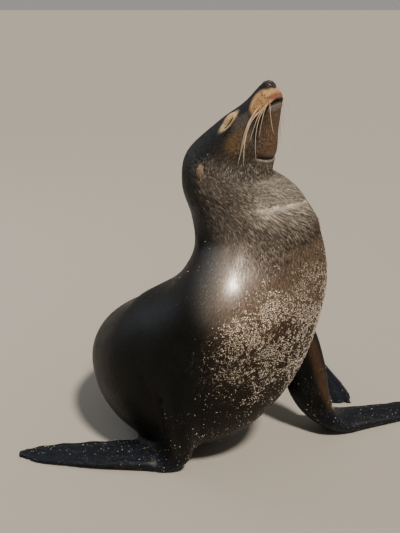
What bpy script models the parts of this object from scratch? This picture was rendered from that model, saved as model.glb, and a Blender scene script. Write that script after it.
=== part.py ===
"""A young California sea lion, sitting up with its nose raised and its eyes shut, as a life-size still model.

Metres, +Z up. The origin is the middle of the belly's flat on the floor. The hindquarters point along +Y,
the animal's left is +X, and the fore part of the body turns to the left, so chest and head look between -Y
and +X. Trunk, neck and head are one loft through oval sections, parted across by thin gaps. Each flipper is
a loft of its own, cut back from the body where it grows out of it. What meets the floor is flat at z = 0.
"""

import math

import bmesh
import bpy
import numpy as np
from mathutils import Vector

GAP = 0.0003  # air between two neighbouring solids
SIDES = 30  # corners of one section of the body
FLIPPER_SIDES = 24
FOOT_SIDES = 40  # four corners to each toe
LIMB_RINGS = 9
FLIPPER_RINGS = 13
FOOT_RINGS = 10
RINGS_PER_PLACE = 3

# Sections of the trunk and neck from tail to head. A heading of 0 looks along -Y and 90 along +X; a pitch of
# 90 looks up. Place, x, y, z, heading, pitch, half width, centre to back, centre to belly.
TRUNK = (
    ("rump end", 0.180, 0.347, 0.058, -46, 0, 0.024, 0.022, 0.022),
    ("tail root", 0.170, 0.338, 0.062, -44, 0, 0.052, 0.046, 0.046),
    ("pelvis", 0.125, 0.295, 0.084, -38, 2, 0.094, 0.078, 0.088),
    ("hips", 0.060, 0.208, 0.110, -28, 4, 0.124, 0.100, 0.119),
    ("loin", 0.002, 0.095, 0.134, -14, 6, 0.150, 0.120, 0.145),
    ("abdomen", -0.018, -0.020, 0.152, 6, 14, 0.159, 0.133, 0.167),
    ("belly", 0.020, -0.104, 0.182, 34, 34, 0.164, 0.152, 0.189),
    ("brisket", 0.084, -0.146, 0.240, 48, 58, 0.160, 0.168, 0.180),
    ("chest", 0.140, -0.162, 0.320, 53, 78, 0.153, 0.156, 0.154),
    ("shoulders", 0.162, -0.166, 0.400, 56, 92, 0.138, 0.131, 0.142),
    ("neck base", 0.162, -0.164, 0.462, 58, 101, 0.122, 0.113, 0.126),
    ("neck", 0.144, -0.158, 0.518, 59, 102, 0.108, 0.102, 0.114),
    ("nape", 0.118, -0.155, 0.564, 60, 92, 0.099, 0.092, 0.108),
    ("occiput", 0.105, -0.155, 0.600, 60, 74, 0.087, 0.071, 0.102),
)

# Sections of the head along its straight axis. Place, distance behind the nose, height of the centre over the
# axis, half width, centre to forehead, centre to chin.
NOSE = Vector((0.194, -0.207, 0.746))
HEAD_HEADING, HEAD_PITCH = 60, 56
HEAD = (
    ("cheek", 0.144, 0.002, 0.073, 0.059, 0.084),
    ("eyes", 0.100, -0.004, 0.057, 0.050, 0.062),
    ("bridge", 0.068, -0.004, 0.042, 0.0385, 0.045),
    ("muzzle", 0.046, -0.003, 0.035, 0.032, 0.035),
    ("whisker pads", 0.027, 0.000, 0.029, 0.026, 0.026),
    ("lips", 0.015, 0.004, 0.025, 0.0185, 0.018),
    ("nose end", 0.009, 0.007, 0.013, 0.010, 0.009),
)
PLACES = [row[0] for row in TRUNK + HEAD]

# Where the body is parted: node name, the place where it ends, counted from the tail, and a shift in places.
TRUNK_NODES = (
    ("pelvis", "hips", 0.0),
    ("abdomen", "belly", -0.35),
    ("chest", "shoulders", 0.35),
    ("neck", "occiput", -0.6),
    ("head", "nose end", 0.0),
)

# Round swellings of the body: x, y, z of the middle, how far it stands out, how far it spreads.
SWELLINGS = (
    (0.118, -0.312, 0.390, 0.020, 0.050),  # point of the right shoulder
    (0.255, -0.070, 0.370, 0.012, 0.055),  # point of the left shoulder
    (0.040, -0.260, 0.260, 0.012, 0.060),  # right upper arm under the skin
    (0.220, -0.035, 0.270, 0.010, 0.060),  # left upper arm under the skin
)
# The same on both sides of the head: behind the nose, to the side, above the axis, height, spread.
HEAD_SWELLINGS = (
    (0.030, 0.022, -0.004, 0.005, 0.014),  # whisker pad
    (0.096, 0.040, 0.036, 0.003, 0.020),  # brow over the eye
    (0.150, 0.062, -0.030, 0.006, 0.035),  # jaw muscle
)

# Flippers from the root outwards: x, y, z of the middle, direction of the leading edge, half breadth, half
# thickness.
RIGHT_FORE = (
    (0.055, -0.210, 0.330, 0.4, -1.0, 0.1, 0.040, 0.032),
    (0.040, -0.232, 0.285, 0.4, -1.0, 0.1, 0.042, 0.034),
    (0.028, -0.257, 0.230, 0.4, -1.0, 0.0, 0.043, 0.034),
    (0.023, -0.272, 0.170, 0.4, -1.0, 0.0, 0.042, 0.033),
    (0.021, -0.263, 0.105, 0.4, -1.0, 0.0, 0.041, 0.031),
    (0.012, -0.232, 0.047, 0.4, -1.0, -0.3, 0.045, 0.028),
    (-0.015, -0.213, 0.020, 0.1, -1.0, -0.1, 0.050, 0.021),
    (-0.062, -0.206, 0.014, 0.0, -1.0, 0.0, 0.052, 0.016),
    (-0.130, -0.202, 0.010, 0.0, -1.0, 0.0, 0.049, 0.012),
    (-0.210, -0.196, 0.007, 0.0, -1.0, 0.0, 0.041, 0.009),
    (-0.275, -0.192, 0.004, 0.0, -1.0, 0.0, 0.029, 0.006),
    (-0.313, -0.190, 0.002, 0.0, -1.0, 0.0, 0.012, 0.004),
)
LEFT_FORE = (
    (0.165, -0.110, 0.340, 1.0, -0.4, 0.2, 0.040, 0.032),
    (0.208, -0.092, 0.285, 1.0, -0.4, 0.1, 0.052, 0.037),
    (0.250, -0.084, 0.218, 1.0, -0.4, 0.0, 0.055, 0.037),
    (0.278, -0.086, 0.150, 0.9, -0.5, 0.0, 0.050, 0.032),
    (0.294, -0.092, 0.090, 0.8, -0.6, 0.0, 0.047, 0.028),
    (0.320, -0.092, 0.044, 0.7, -0.8, -0.2, 0.045, 0.025),
    (0.358, -0.078, 0.020, 0.4, -1.0, -0.1, 0.043, 0.020),
    (0.415, -0.056, 0.014, 0.4, -1.0, 0.0, 0.040, 0.016),
    (0.485, -0.028, 0.010, 0.4, -1.0, 0.0, 0.037, 0.012),
    (0.555, -0.001, 0.007, 0.4, -1.0, 0.0, 0.034, 0.009),
    (0.615, 0.022, 0.004, 0.4, -1.0, 0.0, 0.026, 0.006),
    (0.652, 0.037, 0.002, 0.4, -1.0, 0.0, 0.011, 0.004),
)
LEFT_HIND = (
    (0.140, 0.262, 0.084, -0.2, 1.0, 0.0, 0.054, 0.050),
    (0.195, 0.262, 0.074, 0.0, 1.0, 0.0, 0.055, 0.046),
    (0.247, 0.262, 0.056, 0.3, 1.0, 0.0, 0.048, 0.039),
    (0.294, 0.242, 0.038, 0.8, 0.7, 0.0, 0.043, 0.030),
    (0.324, 0.202, 0.024, 1.0, 0.4, 0.0, 0.043, 0.022),
    (0.340, 0.146, 0.014, 1.0, 0.2, 0.0, 0.050, 0.015),
    (0.350, 0.088, 0.008, 1.0, 0.1, 0.0, 0.059, 0.009),
    (0.354, 0.050, 0.004, 1.0, 0.05, 0.0, 0.061, 0.005),
)
RIGHT_HIND = (
    (0.085, 0.300, 0.084, 0.4, 1.0, 0.0, 0.053, 0.050),
    (0.033, 0.322, 0.072, 0.2, 1.0, 0.0, 0.053, 0.045),
    (-0.016, 0.326, 0.054, -0.2, 1.0, 0.0, 0.047, 0.036),
    (-0.060, 0.305, 0.037, -0.8, 0.8, 0.0, 0.042, 0.028),
    (-0.091, 0.264, 0.024, -1.0, 0.5, 0.0, 0.042, 0.021),
    (-0.110, 0.208, 0.014, -1.0, 0.3, 0.0, 0.048, 0.014),
    (-0.122, 0.154, 0.008, -1.0, 0.2, 0.0, 0.054, 0.009),
    (-0.127, 0.118, 0.004, -1.0, 0.1, 0.0, 0.056, 0.005),
)
TAIL = (
    (0.150, 0.318, 0.066, 0.8, -0.5, 0.0, 0.036, 0.028),
    (0.178, 0.360, 0.060, 0.8, -0.5, 0.0, 0.031, 0.022),
    (0.196, 0.391, 0.050, 0.8, -0.5, 0.0, 0.026, 0.016),
    (0.212, 0.418, 0.040, 0.8, -0.5, 0.0, 0.019, 0.011),
    (0.221, 0.434, 0.033, 0.8, -0.5, 0.0, 0.009, 0.006),
)
WRIST, ANKLE = 5, 2.5  # rows where a flipper is parted from its limb
TOES = 5
TOE_REACH = 0.022  # how far the toes of a hind flipper stand out of its webs

# Small parts of the head, in its own directions: behind the nose, to the side, above the axis. The ear's rows
# go on with its half breadth and half thickness.
EAR = (
    (0.166, 0.074, 0.008, 0.0060, 0.0050),
    (0.176, 0.085, 0.005, 0.0068, 0.0045),
    (0.187, 0.092, 0.000, 0.0052, 0.0040),
    (0.197, 0.096, -0.005, 0.0018, 0.0018),
)
EYELID = (0.094, 0.0405, 0.0205)
EYELID_SIZE = (0.019, 0.010, 0.012)
NOSE_PAD = (0.015, 0.0, 0.009)
NOSE_PAD_SIZE = (0.012, 0.016, 0.0135)
MOUTH = ((0.0, -0.017), (0.086, -0.034), (0.150, -0.120), (0.0, -0.120))  # lower jaw: behind the nose, above
JAW_WIDTH = 0.18  # of the block that parts the jaw, wider than the head

HIDE = (0.030, 0.022, 0.017, 1.0)
WET_BLACK = (0.012, 0.012, 0.014, 1.0)
TAN = (0.42, 0.26, 0.15, 1.0)


def empty_the_scene():
    for obj in list(bpy.data.objects):
        bpy.data.objects.remove(obj, do_unlink=True)


def finish(name, colour, roughness):
    material = bpy.data.materials.new(name)
    material.use_nodes = True
    shader = material.node_tree.nodes["Principled BSDF"]
    shader.inputs["Base Color"].default_value = colour
    shader.inputs["Roughness"].default_value = roughness
    return material


def smooth_rows(rows, wanted):
    """Every column of rows at the wanted positions, as a smooth curve; 1.5 is halfway from row 1 to row 2."""
    table = np.array(rows, float)
    steps = np.linalg.norm(np.diff(table[:, :3], axis=0), axis=1)
    slopes = np.diff(table, axis=0) / steps[:, None]
    weight = (steps[:-1] / (steps[:-1] + steps[1:]))[:, None]
    tangents = np.vstack([slopes[0], slopes[1:] * weight + slopes[:-1] * (1 - weight), slopes[-1]])
    wanted = np.clip(np.asarray(wanted, float), 0, len(table) - 1)
    row = np.minimum(wanted.astype(int), len(table) - 2)
    t = (wanted - row)[:, None]
    step = steps[row][:, None]
    start, end = table[row], table[row + 1]
    ease = t * t * (3 - 2 * t)
    pull = tangents[row] * (t - 2 * t**2 + t**3) + tangents[row + 1] * (t**3 - t**2)
    return start + (end - start) * ease + pull * step


def corner_angles(sides, even=False):
    """Angles of a section's corners; even ones stand at equal steps across its breadth."""
    if not even:
        return [2 * math.pi * k / sides for k in range(sides)]
    half = [math.acos(1 - 4 * k / sides) for k in range(sides // 2)]
    return half + [math.pi + angle for angle in half]


def oval(centre, across, up, width, top, bottom, angles, grow=0.0):
    """One closed section round centre, kept above the floor by flattening it along up."""
    points = []
    for angle in angles:
        a = (width + grow) * math.cos(angle)
        b = ((top if angle < math.pi else bottom) + grow) * math.sin(angle)
        if up.z > 0.05:
            b = max(b, -(centre.z + across.z * a) / up.z)
        points.append(centre + across * a + up * b)
    return points


def directions(heading, pitch):
    """Forward, left and up of a section that looks along heading and pitch, in degrees."""
    h, p = math.radians(heading), math.radians(pitch)
    forward = Vector((math.cos(p) * math.sin(h), -math.cos(p) * math.cos(h), math.sin(p)))
    left = Vector((math.cos(h), math.sin(h), 0))
    return forward, left, forward.cross(left)


def head_point(behind, side, above):
    """A point of the head, from its distance behind the nose, to the animal's left, and above the axis."""
    forward, left, up = directions(HEAD_HEADING, HEAD_PITCH)
    return NOSE - forward * behind + left * side + up * above


def body_table():
    rows = [row[1:] for row in TRUNK]
    for _, behind, above, width, top, bottom in HEAD:
        rows.append((*head_point(behind, 0, above), HEAD_HEADING, HEAD_PITCH, width, top, bottom))
    return rows


def all_swellings():
    """Middle, height and spread of each swelling."""
    found = [(Vector(row[:3]), row[3], row[4]) for row in SWELLINGS]
    for behind, side, above, height, spread in HEAD_SWELLINGS:
        found += [(head_point(behind, way * side, above), height, spread) for way in (1, -1)]
    return found


def body_section(row, grow=0.0):
    x, y, z, heading, pitch, width, top, bottom = row
    centre = Vector((x, y, z))
    _, left, up = directions(heading, pitch)
    points = oval(centre, left, up, width, top, bottom, corner_angles(SIDES), grow)
    for middle, height, spread in all_swellings():
        for point in points:
            share = math.exp(-(point - middle).length_squared / (2 * spread**2))
            point += (point - centre).normalized() * height * share
    return points


def skin_of_sections(sections):
    """A closed mesh through sections with the same number of corners, with flat ends."""
    mesh = bmesh.new()
    rings = [[mesh.verts.new(point) for point in section] for section in sections]
    for one, two in zip(rings, rings[1:]):
        for k in range(len(one)):
            mesh.faces.new((one[k - 1], one[k], two[k], two[k - 1]))
    mesh.faces.new(rings[0])
    mesh.faces.new(rings[-1][::-1])
    bmesh.ops.recalc_face_normals(mesh, faces=mesh.faces)
    return mesh


def add_object(name, mesh, material):
    data = bpy.data.meshes.new(name)
    mesh.to_mesh(data)
    mesh.free()
    data.materials.append(material)
    data.shade_smooth()
    obj = bpy.data.objects.new(name, data)
    bpy.context.scene.collection.objects.link(obj)
    return obj


def as_cutter(obj):
    obj.hide_render = True
    obj.display_type = "WIRE"
    return obj


def boolean(obj, operation, other):
    modifier = obj.modifiers.new(operation.lower(), "BOOLEAN")
    modifier.operation = operation
    modifier.object = other
    modifier.solver = "EXACT"


def place(name, shift=0.0):
    return PLACES.index(name) + shift


def body_positions():
    """Each trunk node's share of the positions along the body, two standing close together at each cut."""
    cuts = [place(end, shift) for _, end, shift in TRUNK_NODES]
    steps = np.arange(0, cuts[-1] + 0.01, 1 / RINGS_PER_PLACE)
    shares, start = [], 0.0
    for end in cuts:
        inside = [s for s in steps if start + 0.1 < s < end - 0.1]
        shares.append([start + (0.004 if start else 0), *inside, end - (0.004 if end < cuts[-1] else 0)])
        start = end
    return shares


def body_rows(positions):
    return smooth_rows(body_table(), positions)


def flipper_sections(rows, first, last, rings, toes=0, sides=FLIPPER_SIDES):
    """Sections of a flipper, the tail or an ear between two of its rows, its upper side up at the tip."""
    wanted = np.linspace(first, last, rings)
    table = smooth_rows(rows, wanted)
    ahead = smooth_rows(rows, wanted + 0.02)[:, :3] - smooth_rows(rows, wanted - 0.02)[:, :3]
    frames = []
    for row, step in zip(table, ahead):
        forward = Vector(step).normalized()
        lead = Vector(row[3:6])
        lead = (lead - forward * lead.dot(forward)).normalized()
        frames.append((forward, lead, forward.cross(lead)))
    side = 1 if frames[-1][2].z > 0 else -1
    sections = []
    for row, share, (forward, lead, up) in zip(table, np.linspace(0, 1, rings), frames):
        centre = Vector(row[:3])
        points = oval(centre, lead, up * side, row[6], row[7], row[7], corner_angles(sides, toes > 0))
        for point in points if toes else ():
            across = (point - centre).dot(lead) / row[6]
            lobe = abs(math.cos(math.pi * toes * across / 2))
            point += forward * TOE_REACH * share**3 * (lobe + 0.5 * across**2)
        sections.append(points)
    return sections


def make_trunk():
    """The trunk nodes, and the same body in one piece and a little fatter, as a cutter."""
    hide = finish("hide", HIDE, 0.45)
    nodes = {}
    shares = body_positions()
    for (name, _, _), share in zip(TRUNK_NODES, shares):
        sections = [body_section(row) for row in body_rows(share)]
        nodes[name] = add_object(name, skin_of_sections(sections), hide)
    sections = [body_section(row, 2 * GAP) for row in body_rows(sum(shares, []))]
    whole = as_cutter(add_object("whole_body", skin_of_sections(sections), hide))
    return nodes, whole


def make_flipper(name, rows, joint, toes, whole, material):
    """A flipper in two nodes, parted at its joint and cut back from the body."""
    rings, sides = (FOOT_RINGS, FOOT_SIDES) if toes else (FLIPPER_RINGS, FLIPPER_SIDES)
    limb = flipper_sections(rows, 0, joint - 0.004, LIMB_RINGS)
    blade = flipper_sections(rows, joint + 0.004, len(rows) - 1, rings, toes, sides)
    for part, sections in (("limb", limb), ("flipper", blade)):
        obj = add_object(f"{name}_{part}", skin_of_sections(sections), material)
        boolean(obj, "DIFFERENCE", whole)


def jaw_wedge(name, grow):
    """A block with the side outline of the lower jaw, wider than the head."""
    mesh = bmesh.new()
    sides = [
        [mesh.verts.new(head_point(behind + grow, side, above + grow)) for behind, above in MOUTH]
        for side in (JAW_WIDTH / 2, -JAW_WIDTH / 2)
    ]
    mesh.faces.new(sides[0])
    mesh.faces.new(sides[1][::-1])
    for k in range(len(MOUTH)):
        mesh.faces.new((sides[0][k - 1], sides[0][k], sides[1][k], sides[1][k - 1]))
    bmesh.ops.recalc_face_normals(mesh, faces=mesh.faces)
    return as_cutter(add_object(name, mesh, bpy.data.materials["hide"]))


def make_jaw(head):
    """Parts the lower jaw from the head along the mouth."""
    jaw = head.copy()
    jaw.data = head.data.copy()
    jaw.name = "lower_jaw"
    bpy.context.scene.collection.objects.link(jaw)
    boolean(jaw, "INTERSECT", jaw_wedge("jaw_wedge", 0))
    boolean(head, "DIFFERENCE", jaw_wedge("jaw_clearance", GAP))


def ellipsoid(name, place_on_head, size, material, cutter):
    """A swollen pad on the head, in the head's directions, cut back from it."""
    forward, left, up = directions(HEAD_HEADING, HEAD_PITCH)
    centre = head_point(*place_on_head)
    mesh = bmesh.new()
    bmesh.ops.create_uvsphere(mesh, u_segments=16, v_segments=9, radius=1)
    for vert in mesh.verts:
        x, y, z = vert.co
        vert.co = centre - forward * x * size[0] + left * y * size[1] + up * z * size[2]
    bmesh.ops.recalc_face_normals(mesh, faces=mesh.faces)
    boolean(add_object(name, mesh, material), "DIFFERENCE", cutter)


def make_face(whole):
    """Ears, shut eyelids and nose pad."""
    hide = bpy.data.materials["hide"]
    tan = finish("eyelid fur", TAN, 0.7)
    black = finish("nose skin", WET_BLACK, 0.25)
    forward, left, up = directions(HEAD_HEADING, HEAD_PITCH)
    for side, way in (("left", 1), ("right", -1)):
        rows = [
            (*head_point(behind, way * out, above), *(up - left * way), breadth, thick)
            for behind, out, above, breadth, thick in EAR
        ]
        ear = add_object(f"{side}_ear", skin_of_sections(flipper_sections(rows, 0, 3, 9, sides=12)), hide)
        boolean(ear, "DIFFERENCE", whole)
        behind, out, above = EYELID
        ellipsoid(f"{side}_eyelid", (behind, way * out, above), EYELID_SIZE, tan, whole)
    ellipsoid("nose_pad", NOSE_PAD, NOSE_PAD_SIZE, black, whole)


def main():
    empty_the_scene()
    nodes, whole = make_trunk()
    black = finish("flipper skin", WET_BLACK, 0.4)
    make_flipper("right_fore", RIGHT_FORE, WRIST, 0, whole, black)
    make_flipper("left_fore", LEFT_FORE, WRIST, 0, whole, black)
    make_flipper("right_hind", RIGHT_HIND, ANKLE, TOES, whole, black)
    make_flipper("left_hind", LEFT_HIND, ANKLE, TOES, whole, black)
    tail = add_object("tail", skin_of_sections(flipper_sections(TAIL, 0, 4, 8)), black)
    boolean(tail, "DIFFERENCE", whole)
    make_jaw(nodes["head"])
    make_face(whole)


main()
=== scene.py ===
"""The looks of a young sea lion that sits up, nose raised and eyes shut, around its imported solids.

Metres, +Z up, in the frame of the solids. The sections follow the animal as it is put together: one
skin, the coat on it, the sand that sticks to the coat, the whiskers and the claws.
"""

import math

import bmesh
import bpy
import numpy as np
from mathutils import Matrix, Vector
from mathutils.bvhtree import BVHTree


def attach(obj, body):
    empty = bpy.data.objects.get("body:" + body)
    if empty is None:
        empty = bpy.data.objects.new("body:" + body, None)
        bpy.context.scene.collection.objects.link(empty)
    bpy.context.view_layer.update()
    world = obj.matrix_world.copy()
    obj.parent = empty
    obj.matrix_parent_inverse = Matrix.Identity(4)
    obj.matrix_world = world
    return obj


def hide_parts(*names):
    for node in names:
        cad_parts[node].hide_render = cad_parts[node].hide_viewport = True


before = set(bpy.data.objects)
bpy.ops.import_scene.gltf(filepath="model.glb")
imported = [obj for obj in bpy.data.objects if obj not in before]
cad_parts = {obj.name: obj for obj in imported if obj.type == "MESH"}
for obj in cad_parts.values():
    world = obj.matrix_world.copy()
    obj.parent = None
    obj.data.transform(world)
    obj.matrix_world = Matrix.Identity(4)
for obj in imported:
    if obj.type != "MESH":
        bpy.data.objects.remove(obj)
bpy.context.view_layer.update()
scene = bpy.context.scene


# ------------------------------------------------------------------------------------------------
# Camera and studio. The camera stands in front of the animal and looks down a little. A wide pale
# floor runs to the horizon. One lamp like a high sun stands at the right, a large dim one at the
# left lights the back, and a narrow warm one makes the wet shine on the shoulder.
CAMERA_PLACE = (0.06, -1.61, 0.87)
CAMERA_DOWN = math.radians(18.1)
FOCAL_LENGTH, FILM_HEIGHT = 53.36, 36.0
FLOOR_DROP = 0.0004  # keeps the floor clear of the flats that rest on it
FLOOR_REACH = 400.0
FLOOR_COLOUR = (0.310, 0.284, 0.248, 1.0)
BODY_MIDDLE = Vector((0.10, -0.05, 0.35))
SUN_PLACE = BODY_MIDDLE + 3 * Vector((0.30, -0.50, 0.81))
SHOULDER_SPOT = (0.108, -0.302, 0.400)
WORLD_COLOUR, WORLD_STRENGTH = (1.0, 0.955, 0.89, 1.0), 0.34


def new_object(name, data):
    obj = bpy.data.objects.new(name, data)
    scene.collection.objects.link(obj)
    return obj


def new_mesh(name, corners, faces, edges=()):
    data = bpy.data.meshes.new(name)
    data.from_pydata([tuple(corner) for corner in corners], edges, faces)
    return data


def new_material(name, values):
    """A material with these values on its Principled shader, the material's tree, and the shader."""
    material = bpy.data.materials.new(name)
    material.use_nodes = True
    shader = material.node_tree.nodes["Principled BSDF"]
    for title, value in values.items():
        shader.inputs[title].default_value = value
    return material, material.node_tree, shader


def add_lamp(name, kind, place, aim, strength, colour):
    """A lamp that looks from its place at the aim; the caller sets its breadth."""
    lamp = bpy.data.lights.new(name, kind)
    lamp.energy = strength
    lamp.color = colour
    obj = new_object(name, lamp)
    obj.location = place
    obj.rotation_euler = (Vector(aim) - Vector(place)).to_track_quat("-Z", "Y").to_euler()
    return lamp


camera = new_object("camera", bpy.data.cameras.new("camera"))
camera.location = CAMERA_PLACE
camera.rotation_euler = (math.pi / 2 - CAMERA_DOWN, 0, 0)
camera.data.lens = FOCAL_LENGTH
camera.data.sensor_width = FILM_HEIGHT
camera.data.clip_end = 2 * FLOOR_REACH
scene.camera = camera
floor_corners = [
    (FLOOR_REACH * x, FLOOR_REACH * y, -FLOOR_DROP) for x, y in ((-1, -1), (1, -1), (1, 1), (-1, 1))
]
floor = new_object("studio_floor", new_mesh("studio_floor", floor_corners, [(0, 1, 2, 3)]))
floor.data.materials.append(new_material("studio floor", {"Base Color": FLOOR_COLOUR, "Roughness": 0.9})[0])
key = add_lamp("key lamp", "SUN", SUN_PLACE, BODY_MIDDLE, 5.5, (1.0, 0.92, 0.80))
key.angle = math.radians(7)
side_lamp = add_lamp("side lamp", "AREA", (-2.2, 0.9, 1.9), BODY_MIDDLE, 24, (0.78, 0.88, 1.0))
side_lamp.shape = "DISK"
side_lamp.size = 1.8
shoulder = add_lamp("shoulder lamp", "SPOT", (-1.014, -1.932, 1.380), SHOULDER_SPOT, 1000, (1.0, 0.87, 0.72))
shoulder.spot_size = math.radians(5.2)
shoulder.spot_blend = 1.0
shoulder.shadow_soft_size = 0.03
world = bpy.data.worlds.new("studio")
world.use_nodes = True
background = world.node_tree.nodes["Background"]
background.inputs["Color"].default_value = WORLD_COLOUR
background.inputs["Strength"].default_value = WORLD_STRENGTH
scene.world = world


# ------------------------------------------------------------------------------------------------
# Skin. One hide covers trunk, head, limbs and flippers with no seam, the coat's depth inside the
# solids. It is lofted through oval sections, fused, smoothed where the limbs grow out of it, and
# then worked over: digits and webs, shut lids, nostrils, lips, whisker pads and folds.
COAT_DEPTH = 0.0022  # how far the skin lies inside the outline that the coat makes
BARE_DEPTH = 0.0006  # the same on the bare flippers
SKIN_GRAIN = 0.0054  # side of a face of the fused skin, before the finer parts are divided
TRUNK_SHARE = 0.60  # of those faces kept on the trunk
MM = 1000  # the tables of sections are in millimetres and degrees, and are divided into metres

# Trunk and neck: x, y, z, heading, pitch, half width, centre to back, centre to belly.
TRUNK = (
    (180, 347, 58, -46, 0, 24, 22, 22),  # rump end
    (170, 338, 62, -44, 0, 52, 46, 46),
    (125, 295, 84, -38, 2, 94, 78, 88),  # pelvis
    (60, 208, 110, -28, 4, 124, 100, 119),
    (2, 95, 134, -14, 6, 150, 120, 145),  # loin
    (-18, -20, 152, 6, 14, 159, 133, 167),
    (20, -104, 182, 34, 34, 164, 152, 189),  # belly
    (84, -146, 240, 48, 58, 160, 168, 180),
    (140, -162, 320, 53, 78, 153, 156, 154),  # chest
    (162, -166, 400, 56, 92, 138, 131, 142),
    (162, -164, 462, 58, 101, 122, 113, 126),  # neck base
    (144, -158, 518, 59, 102, 108, 102, 114),
    (118, -155, 564, 60, 92, 99, 92, 108),  # nape
    (105, -155, 600, 60, 74, 87, 71, 102),
)
TRUNK_UNITS = (MM, MM, MM, 1, 1, MM, MM, MM)
# Head: behind the nose, height over the axis, half width, centre to forehead, centre to chin.
NOSE = np.array((0.194, -0.207, 0.746))
HEAD_HEADING, HEAD_PITCH = 60.0, 56.0
HEAD = (
    (144, 2, 73, 59, 84),  # cheek
    (100, -4, 57, 50, 62),  # eyes
    (68, -4, 42, 38.5, 45),
    (46, -3, 35, 32, 35),  # muzzle
    (27, 0, 29, 26, 26),
    (15, 4, 25, 18.5, 18),  # lips
    (9, 7, 13, 10, 9),
)
# Swellings of the body: x, y, z, height, spread; and of both sides of the head: behind, side, above,
# height, spread.
SWELLINGS = (
    (118, -312, 390, 20, 50),  # right shoulder
    (255, -70, 370, 12, 55),  # left shoulder
    (40, -260, 260, 12, 60),  # right upper arm
    (220, -35, 270, 10, 60),  # left upper arm
)
HEAD_SWELLINGS = (
    (30, 22, -4, 5, 14),  # whisker pad
    (96, 40, 36, 3, 20),  # brow
    (150, 62, -30, 6, 35),  # jaw muscle
)
# Flippers and tail from the root: x, y, z, leading-edge direction, half breadth, half thickness.
LIMBS = {
    "right_fore": (
        (55, -210, 330, 0.4, -1.0, 0.1, 40, 32),
        (40, -232, 285, 0.4, -1.0, 0.1, 42, 34),
        (28, -257, 230, 0.4, -1.0, 0.0, 43, 34),
        (23, -272, 170, 0.4, -1.0, 0.0, 42, 33),
        (21, -263, 105, 0.4, -1.0, 0.0, 41, 31),
        (12, -232, 47, 0.4, -1.0, -0.3, 45, 28),
        (-15, -213, 20, 0.1, -1.0, -0.1, 50, 21),
        (-62, -206, 14, 0.0, -1.0, 0.0, 52, 16),
        (-130, -202, 10, 0.0, -1.0, 0.0, 49, 12),
        (-210, -196, 7, 0.0, -1.0, 0.0, 41, 9),
        (-275, -192, 4, 0.0, -1.0, 0.0, 29, 6),
        (-313, -190, 2, 0.0, -1.0, 0.0, 12, 4),
    ),
    "left_fore": (
        (165, -110, 340, 1.0, -0.4, 0.2, 40, 32),
        (208, -92, 285, 1.0, -0.4, 0.1, 52, 37),
        (250, -84, 218, 1.0, -0.4, 0.0, 55, 37),
        (278, -86, 150, 0.9, -0.5, 0.0, 50, 32),
        (294, -92, 90, 0.8, -0.6, 0.0, 47, 28),
        (320, -92, 44, 0.7, -0.8, -0.2, 45, 25),
        (358, -78, 20, 0.4, -1.0, -0.1, 43, 20),
        (415, -56, 14, 0.4, -1.0, 0.0, 40, 16),
        (485, -28, 10, 0.4, -1.0, 0.0, 37, 12),
        (555, -1, 7, 0.4, -1.0, 0.0, 34, 9),
        (615, 22, 4, 0.4, -1.0, 0.0, 26, 6),
        (652, 37, 2, 0.4, -1.0, 0.0, 11, 4),
    ),
    "left_hind": (
        (140, 262, 84, -0.2, 1.0, 0.0, 54, 50),
        (195, 262, 74, 0.0, 1.0, 0.0, 55, 46),
        (247, 262, 56, 0.3, 1.0, 0.0, 48, 39),
        (294, 242, 38, 0.8, 0.7, 0.0, 43, 30),
        (324, 202, 24, 1.0, 0.4, 0.0, 43, 22),
        (340, 146, 14, 1.0, 0.2, 0.0, 50, 15),
        (350, 88, 8, 1.0, 0.1, 0.0, 59, 9),
        (354, 50, 4, 1.0, 0.05, 0.0, 61, 5),
    ),
    "right_hind": (
        (85, 300, 84, 0.4, 1.0, 0.0, 53, 50),
        (33, 322, 72, 0.2, 1.0, 0.0, 53, 45),
        (-16, 326, 54, -0.2, 1.0, 0.0, 47, 36),
        (-60, 305, 37, -0.8, 0.8, 0.0, 42, 28),
        (-91, 264, 24, -1.0, 0.5, 0.0, 42, 21),
        (-110, 208, 14, -1.0, 0.3, 0.0, 48, 14),
        (-122, 154, 8, -1.0, 0.2, 0.0, 54, 9),
        (-127, 118, 4, -1.0, 0.1, 0.0, 56, 5),
    ),
    "tail": (
        (150, 318, 66, 0.8, -0.5, 0.0, 36, 28),
        (178, 360, 60, 0.8, -0.5, 0.0, 31, 22),
        (196, 391, 50, 0.8, -0.5, 0.0, 26, 16),
        (212, 418, 40, 0.8, -0.5, 0.0, 19, 11),
        (221, 434, 33, 0.8, -0.5, 0.0, 9, 6),
    ),
}
LIMBS = {name: np.array(rows) / (MM, MM, MM, 1, 1, 1, MM, MM) for name, rows in LIMBS.items()}
WRIST, ANKLE = 5.0, 2.5  # rows where a flipper begins
TOES, TOE_REACH = 5, 0.022
EAR = (  # behind, side, above, half breadth, half thickness
    (166, 74, 8, 6, 5),
    (176, 85, 5, 6.8, 4.5),
    (187, 92, 0, 5.2, 4),
    (197, 96, -5, 1.8, 1.8),
)
EYELID, EYELID_SIZE = (0.094, 0.0405, 0.0205), (0.019, 0.010, 0.012)
NOSE_PAD, NOSE_PAD_SIZE = (0.015, 0.0, 0.009), (0.012, 0.016, 0.0135)
TOE_RIDGE, FINGER_RIDGE = 0.0030, 0.0022
FINGERS, FINGER_SHIFT = 2.5, 0.12  # ridges across a fore flipper, and how far they lie off its middle
SCALLOPS, SCALLOP_DEPTH = 6.5, 0.0045  # on the trailing edge of a fore flipper
BODY_RINGS, BODY_SIDES, RINGS_PER_ROW, LIMB_SIDES = 260, 176, 15, 96
EAR_RINGS, EAR_SIDES = 30, 40
PAST_THE_TIP = 9.0  # row where an ear's edge would begin to be scalloped
PAD_RINGS, PAD_SIDES, POLE = 24, 40, 0.02
LIMB_BLEND, SMALL_BLEND = 0.022, 0.007  # how far the skin is smoothed where two lofts meet
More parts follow.
